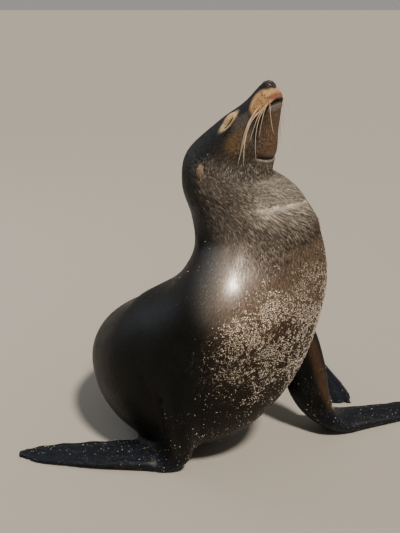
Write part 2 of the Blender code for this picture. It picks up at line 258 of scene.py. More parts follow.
LIMB_ROUNDS, BEND_ROUNDS, SMALL_ROUNDS, LIE_ROUNDS = 60, 150, 26, 60  # how often it is smoothed there
CLEAR_OF_LIMBS, CLEAR_OF_HEAD, CLEAR_OF_FLOOR = 0.012, 0.20, 0.006  # where the trunk has fewer faces
SETTLE_REACH = 0.006  # how far a point is drawn to its loft at most
FAR = 9.0  # stands for the distance of what is out of reach


def smooth_rows(rows, wanted):
    """Every column of rows at the wanted positions, as a smooth curve; 1.5 is halfway from row 1 to 2."""
    table = np.array(rows, float)
    steps = np.linalg.norm(np.diff(table[:, :3], axis=0), axis=1)
    slopes = np.diff(table, axis=0) / steps[:, None]
    weight = (steps[:-1] / (steps[:-1] + steps[1:]))[:, None]
    tangents = np.vstack([slopes[0], slopes[1:] * weight + slopes[:-1] * (1 - weight), slopes[-1]])
    wanted = np.clip(np.asarray(wanted, float), 0, len(table) - 1)
    row = np.minimum(wanted.astype(int), len(table) - 2)
    t = (wanted - row)[:, None]
    rise = t * t * (3 - 2 * t)
    pull = tangents[row] * (t - 2 * t**2 + t**3) + tangents[row + 1] * (t**3 - t**2)
    return table[row] + (table[row + 1] - table[row]) * rise + pull * steps[row][:, None]


def directions(heading, pitch):
    """Forward, left and up, one row each for arrays of headings and pitches in degrees."""
    h, p = np.radians(heading), np.radians(pitch)
    forward = np.stack([np.cos(p) * np.sin(h), -np.cos(p) * np.cos(h), np.sin(p)], -1)
    left = np.stack([np.cos(h), np.sin(h), 0 * h], -1)
    return forward, left, np.cross(forward, left)


HEAD_FORWARD, HEAD_LEFT, HEAD_UP = directions(HEAD_HEADING, HEAD_PITCH)


def head_point(behind, side, above):
    """A point of the head, from its distance behind the nose, to the animal's left, and above the axis."""
    return NOSE - HEAD_FORWARD * behind + HEAD_LEFT * side + HEAD_UP * above


def in_head(points):
    """The opposite: behind, side and above, as columns, for points of the frame."""
    away = points - NOSE
    return np.stack([-away @ HEAD_FORWARD, away @ HEAD_LEFT, away @ HEAD_UP], -1)


def unit(vectors):
    return vectors / np.maximum(np.linalg.norm(vectors, axis=-1, keepdims=True), 1e-9)


def ease(value, low, high):
    """0 below low and 1 above high, with a smooth rise between; it falls when high is below low."""
    t = np.clip((value - low) / (high - low), 0, 1)
    return t * t * (3 - 2 * t)


def hump(away, reach):
    """1 where away is nothing, fading to nothing past its reach."""
    return np.exp(-((away / reach) ** 2))


def round_angles(sides):
    return np.linspace(0, 2 * math.pi, sides, endpoint=False)


def oval_rings(centre, across, up, width, top, bottom, angles, grow):
    """Oval sections, one row of points each, flattened where they would go under the floor."""
    a = (width[:, None] + grow) * np.cos(angles)
    b = (np.where(np.sin(angles) > 0, top[:, None], bottom[:, None]) + grow) * np.sin(angles)
    upright = up[:, 2:] > 0.05
    floor_level = -(centre[:, 2:] + across[:, 2:] * a) / np.where(upright, up[:, 2:], 1)
    b = np.where(upright, np.maximum(b, floor_level), b)
    return centre[:, None] + across[:, None] * a[..., None] + up[:, None] * b[..., None]


def body_rings(rings, sides):
    """Trunk, neck and head in one loft from tail to nose."""
    table = (np.array(TRUNK) / TRUNK_UNITS).tolist()
    for behind, above, width, top, bottom in np.array(HEAD) / MM:
        table.append((*head_point(behind, 0, above), HEAD_HEADING, HEAD_PITCH, width, top, bottom))
    rows = smooth_rows(table, np.linspace(0, len(table) - 1, rings))
    _, left, up = directions(rows[:, 3], rows[:, 4])
    points = oval_rings(rows[:, :3], left, up, *rows[:, 5:8].T, round_angles(sides), -COAT_DEPTH)
    bumps = [(row[:3], row[3], row[4]) for row in np.array(SWELLINGS) / MM]
    for behind, side, above, height, spread in np.array(HEAD_SWELLINGS) / MM:
        bumps += [(head_point(behind, way * side, above), height, spread) for way in (1, -1)]
    for middle, height, spread in bumps:
        share = np.exp(-((points - middle) ** 2).sum(-1) / (2 * spread**2))
        points += unit(points - rows[:, None, :3]) * (height * share)[..., None]
    return points


def limb_rings(rows, rings, sides, joint, toes, grow):
    """A flipper or the tail in one loft, with digits that show as ridges and scalloped edges."""
    wanted = np.linspace(0, len(rows) - 1, rings)
    table = smooth_rows(rows, wanted)
    forward = unit(smooth_rows(rows, wanted + 0.02)[:, :3] - smooth_rows(rows, wanted - 0.02)[:, :3])
    lead = table[:, 3:6]
    lead = unit(lead - forward * (lead * forward).sum(-1, keepdims=True))
    up = np.cross(forward, lead)
    up *= 1 if up[-1, 2] > 0 else -1
    angles = round_angles(sides)
    share = np.clip((wanted - joint) / (len(rows) - 1 - joint), 0, 1)[:, None]
    points = oval_rings(table[:, :3], lead, up, table[:, 6], table[:, 7], table[:, 7], angles, grow)
    across = ((points - table[:, None, :3]) * lead[:, None]).sum(-1) / table[:, 6:7]
    if toes:
        lobe = np.abs(np.cos(math.pi * toes * across / 2))
        points += forward[:, None] * (TOE_REACH * share**3 * (lobe + 0.5 * across**2))[..., None]
        ridge = TOE_RIDGE * (lobe**1.5 - 0.45) * ease(share, 0.0, 0.5)
    else:
        scallop = 0.5 - 0.5 * np.cos(2 * math.pi * SCALLOPS * share**1.4)
        inwards = scallop * ease(share, 0.25, 0.6) * ease(share, 1.0, 0.9) * ease(across, -0.35, -1.0)
        points += lead[:, None] * (SCALLOP_DEPTH * inwards)[..., None]
        lobe = np.abs(np.cos(math.pi * FINGERS * (across - FINGER_SHIFT)))
        ridge = FINGER_RIDGE * (lobe**2 - 0.4) * ease(share, 0.05, 0.45) * ease(share, 1.0, 0.8)
    upper = ease(np.sin(angles), 0.15, 0.6) * ease(np.abs(across), 1.0, 0.85)
    return points + up[:, None] * (ridge * upper)[..., None]


def pad_rings(place, size, way):
    """An ellipsoid on the head, in rings along its forward axis."""
    turns = np.linspace(POLE, math.pi - POLE, PAD_RINGS)
    angles = round_angles(PAD_SIDES)
    ring = HEAD_LEFT * np.cos(angles)[:, None] * size[1] + HEAD_UP * np.sin(angles)[:, None] * size[2]
    along = -HEAD_FORWARD * np.cos(turns)[:, None] * size[0]
    centre = head_point(place[0], place[1] * way, place[2])
    return centre + along[:, None] + ring * np.sin(turns)[:, None, None]


def skin_lofts():
    """Every loft that the skin is fused from, by name."""
    made = {"body": body_rings(BODY_RINGS, BODY_SIDES)}
    for name, rows in LIMBS.items():
        joint, toes = (ANKLE, TOES) if "hind" in name else (WRIST, 0)
        made[name] = limb_rings(rows, RINGS_PER_ROW * len(rows), LIMB_SIDES, joint, toes, -BARE_DEPTH)
    for side, way in (("left", 1), ("right", -1)):
        lead = HEAD_UP - HEAD_LEFT * way
        rows = [(*head_point(row[0], way * row[1], row[2]), *lead, *row[3:]) for row in np.array(EAR) / MM]
        made[side + "_ear"] = limb_rings(rows, EAR_RINGS, EAR_SIDES, PAST_THE_TIP, 0, -BARE_DEPTH)
        made[side + "_eyelid"] = pad_rings(EYELID, EYELID_SIZE, way)
    made["nose_pad"] = pad_rings(NOSE_PAD, NOSE_PAD_SIZE, 1)
    return made


def loft_faces(rings, sides, first=0):
    """Quads of a closed loft, and its two flat ends."""
    ring = np.arange(rings - 1)[:, None] * sides
    k = np.arange(sides)[None, :]
    k_next = (k + 1) % sides
    quads = np.stack([ring + k, ring + k_next, ring + sides + k_next, ring + sides + k], -1)
    faces = (quads.reshape(-1, 4) + first).tolist()
    faces.append([first + k for k in range(sides)][::-1])
    faces.append([first + (rings - 1) * sides + k for k in range(sides)])
    return faces


def evaluated_mesh(obj):
    """The object's mesh with its modifiers in it, as a mesh of its own; the object is removed."""
    graph = bpy.context.evaluated_depsgraph_get()
    data = bpy.data.meshes.new_from_object(obj.evaluated_get(graph), depsgraph=graph)
    old, name = obj.data, obj.data.name
    bpy.data.objects.remove(obj)
    bpy.data.meshes.remove(old)
    data.name = name
    return data


def face_outwards(data):
    mesh = bmesh.new()
    mesh.from_mesh(data)
    bmesh.ops.recalc_face_normals(mesh, faces=mesh.faces)
    mesh.to_mesh(data)
    mesh.free()


def fused_skin():
    """One closed surface round all lofts."""
    points, faces = [], []
    for rings in lofts.values():
        faces += loft_faces(*rings.shape[:2], first=len(points))
        points += rings.reshape(-1, 3).tolist()
    data = new_mesh("skin", points, faces)
    data.validate()
    face_outwards(data)
    obj = new_object("skin_lofts", data)
    fuse = obj.modifiers.new("fuse", "REMESH")
    fuse.mode = "VOXEL"
    fuse.voxel_size = SKIN_GRAIN
    return evaluated_mesh(obj)


def near_lofts(points, reach=0.06):
    """For each loft, and every point within reach of it: distance, nearest place, and the face there."""
    found = []
    for name, rings in lofts.items():
        low, high = rings.min((0, 1)) - reach, rings.max((0, 1)) + reach
        away, place, face = np.full(len(points), FAR), points.copy(), np.zeros(len(points), int)
        for i in np.nonzero(((points > low) & (points < high)).all(-1))[0]:
            place[i], _, face[i], away[i] = loft_trees[name].find_nearest(points[i])
        found.append((away, place, face))
    return [np.stack(column) for column in zip(*found)]


def read(items, field, width=3, kind=np.float32):
    """This field of every item of a mesh, such as the place of each vertex, one row each."""
    values = np.empty(len(items) * width, kind)
    items.foreach_get(field, values)
    values = values.astype(float if kind is np.float32 else int)
    return values.reshape(-1, width) if width > 1 else values


def neighbours(data):
    """Ends of every edge, both ways round, and how many edges meet at each vertex."""
    ends = read(data.edges, "vertices", 2, np.int32)
    both = np.vstack([ends, ends[:, ::-1]])
    return both, np.bincount(both[:, 0], minlength=len(data.vertices))


def relax(values, net, weight, rounds):
    """Moves each value towards the mean of its neighbours in the net, as far as its weight says."""
    ends, count = net
    rows = values.reshape(len(values), -1).astype(float)
    for _ in range(rounds):
        mean = np.stack([np.bincount(ends[:, 0], row[ends[:, 1]], len(rows)) for row in rows.T], -1)
        mean /= np.maximum(count, 1)[:, None]
        rows += (mean - rows) * np.reshape(weight, (-1, 1))
    return rows.reshape(values.shape)


def junction_weight(away, small):
    """1 where two lofts meet and 0 away from there; small parts blend over a few millimetres only."""
    kept = [k for k, name in enumerate(lofts) if name == "body" or (name in SMALL_PARTS) == small]
    return hump(np.sort(away[kept], axis=0)[1], SMALL_BLEND if small else LIMB_BLEND)


def settled_on_lofts(points, away, place, share):
    """The points, drawn to the nearest loft by their share."""
    goal = place[away.argmin(0), np.arange(len(points))]
    limit = np.clip(SETTLE_REACH / np.maximum(away.min(0), 1e-9), 0, 1)
    return points + (goal - points) * (share * limit)[:, None]


def back_bend(points):
    """1 in the hollow of the back where the fore body rises, fading away from there."""
    return np.exp(-(((points - BACK_BEND) ** 2).sum(-1) / BACK_BEND_REACH**2))


def set_places(data, points):
    """Moves the vertices there, and none of them under the floor."""
    points[:, 2] = np.maximum(points[:, 2], 0)
    data.vertices.foreach_set("co", points.astype(np.float32).ravel())
    data.update()


def thin_out(data, area, keep):
    """Keeps this share of the faces inside the area, and all of them outside it."""
    obj = new_object(data.name, data)
    group = obj.vertex_groups.new(name="area")
    group.add(np.nonzero(area)[0].tolist(), 1.0, "REPLACE")
    fewer = obj.modifiers.new("fewer", "DECIMATE")
    fewer.ratio = keep
    fewer.vertex_group = group.name
    return evaluated_mesh(obj)


def divide(data, wanted):
    """Splits the edges of every face whose centre is wanted."""
    mesh = bmesh.new()
    mesh.from_mesh(data)
    chosen = wanted(np.array([face.calc_center_median() for face in mesh.faces]))
    edges = {edge for face, use in zip(mesh.faces, chosen) if use for edge in face.edges}
    in_order = sorted(edges, key=lambda edge: edge.index)
    bmesh.ops.subdivide_edges(mesh, edges=in_order, cuts=1, use_grid_fill=True)
    mesh.to_mesh(data)
    mesh.free()


def path_distance(places, path):
    """Distance of each place to a bent line, and how far along it the nearest spot lies, 0 to 1."""
    best, along = np.full(len(places), FAR), np.zeros(len(places))
    path = np.asarray(path, float)
    for k in range(len(path) - 1):
        step = path[k + 1] - path[k]
        t = np.clip((places - path[k]) @ step / (step @ step), 0, 1)
        away = np.linalg.norm(places - path[k] - t[:, None] * step, axis=-1)
        nearer = away < best
        best = np.where(nearer, away, best)
        along = np.where(nearer, (k + t) / (len(path) - 1), along)
    return best, along


def mouth_height(behind):
    """Height over the head's axis of the line between the lips."""
    return np.interp(behind, *zip(*MOUTH_LINE))


def around_head(points):
    return (in_head(points)[:, 0] < 0.180) | (path_distance(points, THROAT_FOLD)[0] < 0.016)


def around_face(points):
    behind, side, above = in_head(points).T
    lids = np.hypot(behind - EYELID[0], above - EYELID[2]) < 0.028
    ears = (np.abs(side) > 0.078) & (behind > 0.155) & (behind < 0.20)
    crease = (np.abs(behind - 0.114) < 0.010) & (above < -0.045)
    crease |= path_distance(points, THROAT_FOLD)[0] < 0.010
    return (behind < 0.088) | (lids & (np.abs(side) > 0.03)) | ears | crease


def around_lips_and_lids(points):
    behind, side, above = in_head(points).T
    lids = (np.abs(behind - EYE_MIDDLE) < 0.019) & (np.abs(above - EYE_LEVEL) < 0.009)
    lips = (np.abs(above - mouth_height(behind)) < 0.0050) & (behind < MOUTH_CORNER + 0.004)
    pads = (behind < 0.052) & (above > -0.024) & (above < 0.012)
    return pads | (behind < 0.024) | lids & (np.abs(side) > 0.03) | lips


SMALL_PARTS = ("left_ear", "right_ear", "left_eyelid", "right_eyelid", "nose_pad")
BACK_BEND, BACK_BEND_REACH = np.array((-0.027, -0.040, 0.322)), 0.055
THROAT_FOLD = (  # second crease of the throat
    (0.150, -0.262, 0.528),
    (0.174, -0.262, 0.536),
    (0.211, -0.246, 0.537),
    (0.247, -0.208, 0.533),
    (0.258, -0.170, 0.530),
)
MOUTH_LINE = (  # behind the nose, above the axis; past the corner it is the edge of the jaw's colour
    (0.010, -0.0200),
    (0.022, -0.0205),
    (0.031, -0.0190),
    (0.054, -0.0208),
    (0.075, -0.0268),
    (0.096, -0.0415),
    (0.114, -0.0620),
)
MOUTH_CORNER = 0.094
EYE_MIDDLE, EYE_LEVEL, EYE_HALF = 0.0935, 0.0190, 0.0130  # behind the nose, above the axis, half length
EYE_SLIT = [(EYE_MIDDLE + EYE_HALF * t, EYE_LEVEL - 0.0018 * (1 - t * t)) for t in (-1, -0.5, 0, 0.5, 1)]
LIP_LINE = smooth_rows([(-0.006, -0.0200), *MOUTH_LINE[:6]], np.linspace(0, 6, 40))

lofts = skin_lofts()
loft_names = list(lofts)
loft_trees = {
    name: BVHTree.FromPolygons(rings.reshape(-1, 3).tolist(), loft_faces(*rings.shape[:2]))
    for name, rings in lofts.items()
}

# The limbs are smoothed into the body, and the hollow of the back is smoothed out.
skin_data = fused_skin()
points = read(skin_data.vertices, "co")
loft_away, loft_place, _ = near_lofts(points)
blend = junction_weight(loft_away, small=False)
points = settled_on_lofts(points, loft_away, loft_place, 1 - blend)
bend = back_bend(points)
net = neighbours(skin_data)
points = relax(points, net, 0.5 * np.clip(blend * 1.6, 0, 1), LIMB_ROUNDS)
points = relax(points, net, 0.5 * np.clip(bend * 1.3, 0, 1), BEND_ROUNDS)
set_places(skin_data, points)

# The trunk gets by with fewer faces; head, throat and lips get more.
limbs_away = loft_away[1:].min(0)
in_trunk = (limbs_away > CLEAR_OF_LIMBS) & (in_head(points)[:, 0] > CLEAR_OF_HEAD)
in_trunk &= points[:, 2] > CLEAR_OF_FLOOR
skin_data = thin_out(skin_data, in_trunk, TRUNK_SHARE)
for wanted in (around_head, around_face, around_lips_and_lids):
    divide(skin_data, wanted)
points = read(skin_data.vertices, "co")
loft_away, loft_place, loft_face = near_lofts(points)
net = neighbours(skin_data)
blend = junction_weight(loft_away, small=False)
share = (1 - np.clip(blend * 1.6, 0, 1)) * (1 - np.clip(back_bend(points) * 1.3, 0, 1))
points = settled_on_lofts(points, loft_away, loft_place, share)
small_joints = junction_weight(loft_away, small=True)
points = relax(points, net, 0.5 * np.clip(small_joints * 1.5, 0, 1), SMALL_ROUNDS)
set_places(skin_data, points)


def groove(places, path, depth, reach, where=1.0, fade=0.15):
    """How deep a groove along the path is at each place; it runs out at both ends."""
    away, along = path_distance(places, path)
    return depth * hump(away, reach) * (ease(along, 0.0, fade) * ease(along, 1.0, 1 - fade)) * where


# Folds of the body: places along each fold, depth, reach.
BODY_FOLDS = (
    (THROAT_FOLD, 0.0030, 0.0042),
    (((0.056, -0.214, 0.453), (0.069, -0.238, 0.466), (0.087, -0.257, 0.473), (0.104, -0.271, 0.470),
      (0.130, -0.287, 0.459)), 0.0045, 0.0150),  # hollow over the right shoulder
    (((-0.055, -0.250, 0.215), (-0.048, -0.256, 0.202), (-0.040, -0.261, 0.179), (-0.035, -0.261, 0.145)),
     0.0040, 0.0055),  # folds of the right armpit
    (((-0.018, -0.276, 0.175), (-0.015, -0.276, 0.159), (-0.012, -0.272, 0.125), (-0.010, -0.259, 0.079)),
     0.0050, 0.0060),
    (((0.056, -0.300, 0.300), (0.055, -0.304, 0.240), (0.058, -0.290, 0.160), (0.060, -0.272, 0.095)),
     0.0045, 0.0070),  # front edge of the right arm
)
FOLLICLE_ROWS, FOLLICLES_IN_ROW = 6, 8
FOLLICLE_START, FOLLICLE_STEP = (0.019, 0.0045), (0.0050, -0.0036)
NOSTRIL = ((0.0026, 0.0030), (0.0052, 0.0052), (0.0082, 0.0092), (0.0088, 0.0130))  # side, above
UNDER_NOSE = ((0, 0.004), (0, -0.006), (0, -0.0185))
EAR_PIT = (0.1755, 0.084, -0.0035)
SHOULDER_POINT = (0.121, -0.311, 0.412)


def follicle_places():
    """Where the whiskers grow, as behind and above, row by row from the top of the pad."""
    spots = []
    for row in range(FOLLICLE_ROWS):
        for k in range(FOLLICLES_IN_ROW - row // 3):
            behind = FOLLICLE_START[0] + FOLLICLE_STEP[0] * k + 0.0022 * (row % 2)
            above = FOLLICLE_START[1] + FOLLICLE_STEP[1] * row - 0.0007 * k
            if above > mouth_height(behind) + 0.0030:
                spots.append((behind, above, row, k))
    return spots


def from_ear_pit(head, way):
    return np.linalg.norm(head - np.array(EAR_PIT) * (1, way, 1), axis=-1)


def from_shoulder(points):
    return np.linalg.norm(points - SHOULDER_POINT, axis=-1)


def sculpted(points, normals):
    """The points, moved in or out for lids, nostrils, lips, whisker pads and folds."""
    head = in_head(points)
    behind, side, above = head.T
    profile, front = head[:, [0, 2]], head[:, 1:]
    cheek = ease(np.abs(side), 0.020, 0.030)
    height = np.zeros(len(points))
    # Shut lids: a slit that sags a little, a fold over it and the soft edge of each lid.
    fold = [(x + 0.0008, y + 0.0058 - 0.0020 * abs(x - EYE_MIDDLE) / EYE_HALF) for x, y in EYE_SLIT]
    height -= groove(profile, EYE_SLIT, 0.0022, 0.00125, cheek, 0.12)
    height += groove(profile, EYE_SLIT, 0.0011, 0.0036, cheek)
    height -= groove(profile, fold, 0.0009, 0.0013, cheek, 0.3)
    # Mouth: a gap at the front, a fine line along the lips and a cleft at the corner.
    low_head = (above < 0.004) * (behind < 0.12)
    away, _ = path_distance(profile, LIP_LINE)
    muzzle = ease(behind, 0.036, 0.014)
    gap = 0.0060 * muzzle + 0.0022 + 0.0030 * ease(behind, 0.062, 0.078)
    width = 0.0012 + 0.0009 * muzzle + 0.0010 * ease(behind, 0.062, 0.080)
    gap *= ease(behind, MOUTH_CORNER + 0.002, MOUTH_CORNER - 0.008)
    height -= gap * hump(away, width) * low_head
    height += 0.0010 * hump(away - 0.0034, 0.0020) * low_head * ease(behind, 0.075, 0.05)
    # Nose: two slanted slits, the rim of the bare pad and the groove under it.
    tip = ease(behind, 0.026, 0.017)
    for way in (1, -1):
        nostril = [(way * x, y) for x, y in NOSTRIL]
        height -= groove(front, nostril, 0.0042, 0.00135, tip, 0.2)
        height += groove(front, nostril, 0.0009, 0.0034, tip, 0.1)
    height -= groove(front, UNDER_NOSE, 0.0022, 0.0013, tip, 0.1)
    rim = np.abs(np.hypot(side / 0.0135, (above - 0.0085) / 0.0110) - 1)
    height -= 0.0010 * hump(rim, 0.10) * tip * (above > -0.003)
    # Whisker pads: fuller, with a small mound at each whisker.
    pad = np.hypot((behind - 0.036) / 0.024, (above + 0.006) / 0.0165)
    height += 0.0016 * ease(pad, 1.15, 0.55) * ease(np.abs(side), 0.004, 0.016)
    for spot in follicle_places():
        away = np.hypot(behind - spot[0], above - spot[1])
        height += 0.0005 * hump(away, 0.0013) * ease(np.abs(side), 0.010, 0.018) * ease(pad, 1.1, 0.8)
    # Point of the shoulder: a low round dome.
    height += 0.0040 * hump(from_shoulder(points), 0.036)
    # Throat: the crease behind the chin. Ear: a pit in front of the leaf.
    height -= 0.0042 * (hump(behind - 0.1135, 0.0032) * ease(above, -0.052, -0.062))
    for way in (1, -1):
        height -= 0.0035 * hump(from_ear_pit(head, way), 0.0045)
    for path, depth, reach in BODY_FOLDS:
        height -= groove(points, path, depth, reach)
    return points + normals * height[:, None]


points = sculpted(points, read(skin_data.vertices, "normal"))
set_places(skin_data, points)
outward = read(skin_data.vertices, "normal")


def spine(rings):
    """For each ring of a loft: its way along in metres and its axis direction."""
    middle = rings.mean(1)
    along = np.concatenate([[0], np.cumsum(np.linalg.norm(np.diff(middle, axis=0), axis=-1))])
    return along, unit(np.gradient(middle, axis=0))


def share_of_step(spot, step):
    """How far along the step the foot of the spot lies, 0 to 1."""
    return np.clip((spot * step).sum(-1) / np.maximum((step * step).sum(-1), 1e-12), 0, 1)


def lie_and_map():
    """The lie of the coat, and a map of the skin: way along the nearest loft and turn round it."""
    size = len(nearest)
    lie, along, turn = np.zeros((size, 3)), np.zeros(size), np.zeros(size)
    for k, (name, rings) in enumerate(lofts.items()):
        mine = nearest == k
        sides = rings.shape[1]
        face = np.minimum(loft_face[k][mine], (rings.shape[0] - 1) * sides - 1)
        ring, corner = face // sides, face % sides
        way, axis = spine(rings)
        towards_tail = -1 if name == "body" else 1
        lie[mine] = axis[ring] * towards_tail
        # The way within the face sharpens both readings.
        ring_next = np.minimum(ring + 1, rings.shape[0] - 1)
        start = rings[ring, corner]
        spot = loft_place[k][mine] - start
        part = share_of_step(spot, rings[ring_next, corner] - start)
        along[mine] = way[ring] + (way[ring_next] - way[ring]) * part
        part = share_of_step(spot, rings[ring, (corner + 1) % sides] - start)
        turn[mine] = (corner + part) * 2 * math.pi / sides
    return lie, along, turn


nearest = loft_away.argmin(0)
lie, way_along, turn = lie_and_map()
lie = relax(lie, net, 0.5 * np.clip(blend * 1.5, 0.02, 1), LIE_ROUNDS)
lie = unit(lie - outward * (lie * outward).sum(-1, keepdims=True))


# Colours of the wet hide and coat.
WET_BLACK = (0.0026, 0.0026, 0.0027)
OLIVE_BROWN = (0.0030, 0.0029, 0.0023)
CHEST_BROWN = (0.033, 0.0190, 0.0110)
PAINTED_SUNLIT_BREAST = (0.095, 0.064, 0.041)
ARM_BROWN = (0.034, 0.019, 0.011)
NECK_GREY = (0.054, 0.043, 0.0345)
SUNLIT_GREY = (0.420, 0.370, 0.310)
PAINTED_FOLD_HIGHLIGHT = (0.52, 0.455, 0.38)
CHEEK_BROWN = (0.0160, 0.0112, 0.0073)
CHEEK_GOLD = (0.076, 0.045, 0.019)
CHEEK_GREY = (0.060, 0.053, 0.046)
JAW_RUST = (0.084, 0.045, 0.0230)
MUZZLE_TAN = (0.410, 0.240, 0.104)
FOLLICLE_BROWN = (0.045, 0.022, 0.012)
LIP_RED = (0.200, 0.072, 0.042)
PAINTED_LIP_HIGHLIGHT = (0.135, 0.112, 0.100)
LID_TAN = (0.420, 0.295, 0.165)
EAR_TAN = (0.190, 0.120, 0.070)
NOSE_BLACK = (0.010, 0.010, 0.011)
FLIPPER_BLUE = (0.0042, 0.0050, 0.0078)
DARK_LINE = (0.012, 0.009, 0.008)
# The sand keeps to the front of the chest: heights, and how far right of the middle it starts there.
SAND_EDGE = ((0.050, 0.046), (0.295, 0.046), (0.327, 0.078), (0.376, 0.130), (0.436, 0.150), (0.560, 0.165))
# Paths on the body: the brown ridge of the left arm, and the wet hollow where the throat's creases part.
ARM_RIDGE = ((0.290, -0.118, 0.215), (0.311, -0.121, 0.146), (0.323, -0.123, 0.108), (0.338, -0.121, 0.074))
WET_HOLLOW = ((0.168, -0.262, 0.545), (0.176, -0.263, 0.520))
NECK_SLANT = math.radians(24)  # of the hair on the right of the neck


def paint(colour, share):
    """Lays a colour over the hide's tone as far as share says."""
    tone[:] = tone + (np.array(colour) - tone) * np.clip(share, 0, 1)[:, None]


def around(places, middle, sizes, soft=0.35):
    """1 inside an ellipse or ellipsoid of this middle and these half sizes, 0 outside, soft at the edge."""
    away = np.sqrt((((places - middle) / sizes) ** 2).sum(-1))
    return ease(away, 1 + soft, 1 - soft)


tone = np.tile(WET_BLACK, (len(points), 1)).astype(float)
head = in_head(points)
profile = head[:, [0, 2]]
behind, side, above = head.T
x, y, z = points.T
out = np.abs(side)
cheek = ease(out, 0.012, 0.024)
on_head = ease(behind, 0.215, 0.175) * ease(z, 0.50, 0.56)
on_body = nearest == loft_names.index("body")
under = relax(np.where(on_body, -np.sin(turn), 0.0), net, 0.5, 6)
fore = ease(y, 0.02, -0.12)
below_mouth = mouth_height(behind) - above

# Trunk: black over the back, olive on the flank, brown over shoulder, chest and belly, a grey neck.
paint(OLIVE_BROWN, ease(under, -0.55, 0.05))
# The chest's brown fades to black towards the bottom and the left: painted shade.
paint(CHEST_BROWN, ease(under, -0.30, 0.45) * fore * (0.2 + 0.8 * ease(z, 0.16, 0.36)) * ease(x, 0.03, 0.15))
neck = ease(z, 0.45, 0.52) * ease(behind, 0.100, 0.125) * ease(z, 0.635, 0.600)
paint(NECK_GREY, neck * ease(under, -0.45, 0.15))
# A pale patch on the right of the throat: painted sunlight and wet shine.
sunlit = around(points, (0.212, -0.255, 0.538), (0.050, 0.075, 0.052), 0.9)
paint(SUNLIT_GREY, sunlit * ease(behind, 0.113, 0.120) * 0.80)
# A lighter brown on the sunlit right of the breast: painted sunlight over the coat's brown.
paint(PAINTED_SUNLIT_BREAST, ease(x, 0.17, 0.24) * ease(z, 0.30, 0.40) * ease(z, 0.55, 0.45) * fore * 0.8)
# Head: black crown, brown cheek with gold and grey in it, rust jaw, tan pads.
paint(WET_BLACK, on_head * ease(above, 0.000, 0.030))
paint(CHEEK_BROWN, on_head * ease(above, 0.022, -0.012) * ease(behind, 0.105, 0.120) * (1 - neck) * 0.8)
paint(CHEEK_GREY, around(profile, (0.077, 0.003), (0.018, 0.012)) * cheek * 0.75)
paint(CHEEK_GOLD, around(profile, (0.104, -0.016), (0.022, 0.017), 0.5) * cheek)
paint(WET_BLACK, around(profile, (0.060, 0.018), (0.016, 0.010)) * 0.8)
jaw = ease(below_mouth, 0.000, 0.0035) * ease(behind, 0.1145, 0.1125)
# The rust fades towards the line of the lips: painted shade under the upper lip and its whiskers.
paint(JAW_RUST, jaw * (0.35 + 0.65 * ease(below_mouth, 0.004, 0.022)))
pad = around(profile, (0.034, -0.0045), (0.0235, 0.0170), 0.20) * cheek
lip_side = ease(below_mouth, 0.000, 0.0015)
paint(MUZZLE_TAN, pad * (1 - lip_side))
tip = ease(behind, 0.026, 0.016)
front = tip * ease(above, 0.004, -0.001) * (1 - lip_side)
paint(MUZZLE_TAN, front)
paint(LIP_RED, front * ease(above, -0.004, -0.012))
# A grey patch on the lower lip: painted highlight.
paint(PAINTED_LIP_HIGHLIGHT, lip_side * ease(below_mouth, 0.0105, 0.006) * ease(behind, 0.042, 0.032))
# A dark line along the gap between the lips: painted shade in the gap.
from_lips, _ = path_distance(profile, LIP_LINE)
gap = 0.0016 + 0.0020 * ease(behind, 0.036, 0.014) + 0.0022 * ease(behind, 0.060, 0.080)
paint(DARK_LINE, ease(from_lips, gap * 1.35, gap * 0.7) * ease(behind, 0.101, 0.093) * (above < 0.0))
# Shut eye: a tan patch with a dark slit; ear: a tan leaf with a dark pit in front of it.
lid = around(profile, (0.0925, 0.0220), (0.0208, 0.0083), 0.22) * cheek
paint(LID_TAN, lid)
shut = groove(profile, EYE_SLIT, 1.15, 0.0011, cheek, 0.12)
paint(DARK_LINE, shut)
from_ears = np.minimum(*(loft_away[loft_names.index(name)] for name in ("left_ear", "right_ear")))
leaf = ease(from_ears, 0.0022, 0.0008) * ease(out, 0.080, 0.084)
paint(WET_BLACK, leaf)
paint(EAR_TAN, leaf * ease(behind, 0.169, 0.174) * ease(behind, 0.195, 0.189))
# The pit in front of each ear is painted dark: painted shade.
for way in (1, -1):
    paint(DARK_LINE, ease(from_ear_pit(head, way), 0.0065, 0.0035))
# Throat and chin creases: painted highlight on their lower edges and in the wet hollow.
away, along = path_distance(points, np.array(THROAT_FOLD) + (0, 0, 0.0012))
pale = ease(away, 0.0042, 0.0016) * ease(along, 0.0, 0.15) * ease(along, 1.0, 0.9)
pale = np.maximum(pale, 0.7 * ease(path_distance(points, WET_HOLLOW)[0], 0.016, 0.004))
pale = np.maximum(pale, 0.30 * ease(np.abs(behind - 0.1170), 0.0013, 0.0004) * ease(above, -0.050, -0.060))
paint(PAINTED_FOLD_HIGHLIGHT, pale * 0.95)
# Follicles: dark dots on the pads, some fainter than others.
dots = np.zeros(len(points))
for k, spot in enumerate(follicle_places()):
    away = np.hypot((behind - spot[0] - 0.0012) / 2.3, above - spot[1])
    dots = np.maximum(dots, (0.62 + 0.38 * math.cos(2.4 * k)) * hump(away, 0.00135))
paint(FOLLICLE_BROWN, dots * pad * 0.95)
nose = tip * ease(np.hypot(side / 0.0132, (above - 0.0105) / 0.0120), 1.08, 0.95) * (above > -0.004)
paint(NOSE_BLACK, nose)
# Bare flippers: past the wrist or the ankle of each limb.
bare = np.zeros(len(points))
for name, rows in LIMBS.items():
    if name != "tail":
        way, _ = spine(lofts[name])
        joint = ANKLE if "hind" in name else WRIST
        start = np.interp(joint / (len(rows) - 1) * (len(way) - 1), np.arange(len(way)), way)
        mine = nearest == loft_names.index(name)
        bare[mine] = ease(way_along[mine], start - 0.035, start + 0.020)
limb = np.isin(nearest, [loft_names.index(name) for name in LIMBS])
paint(WET_BLACK, relax(limb, net, 0.5, 14))
paint(FLIPPER_BLUE, bare)
paint(ARM_BROWN, ease(path_distance(points, ARM_RIDGE)[0], 0.018, 0.005))

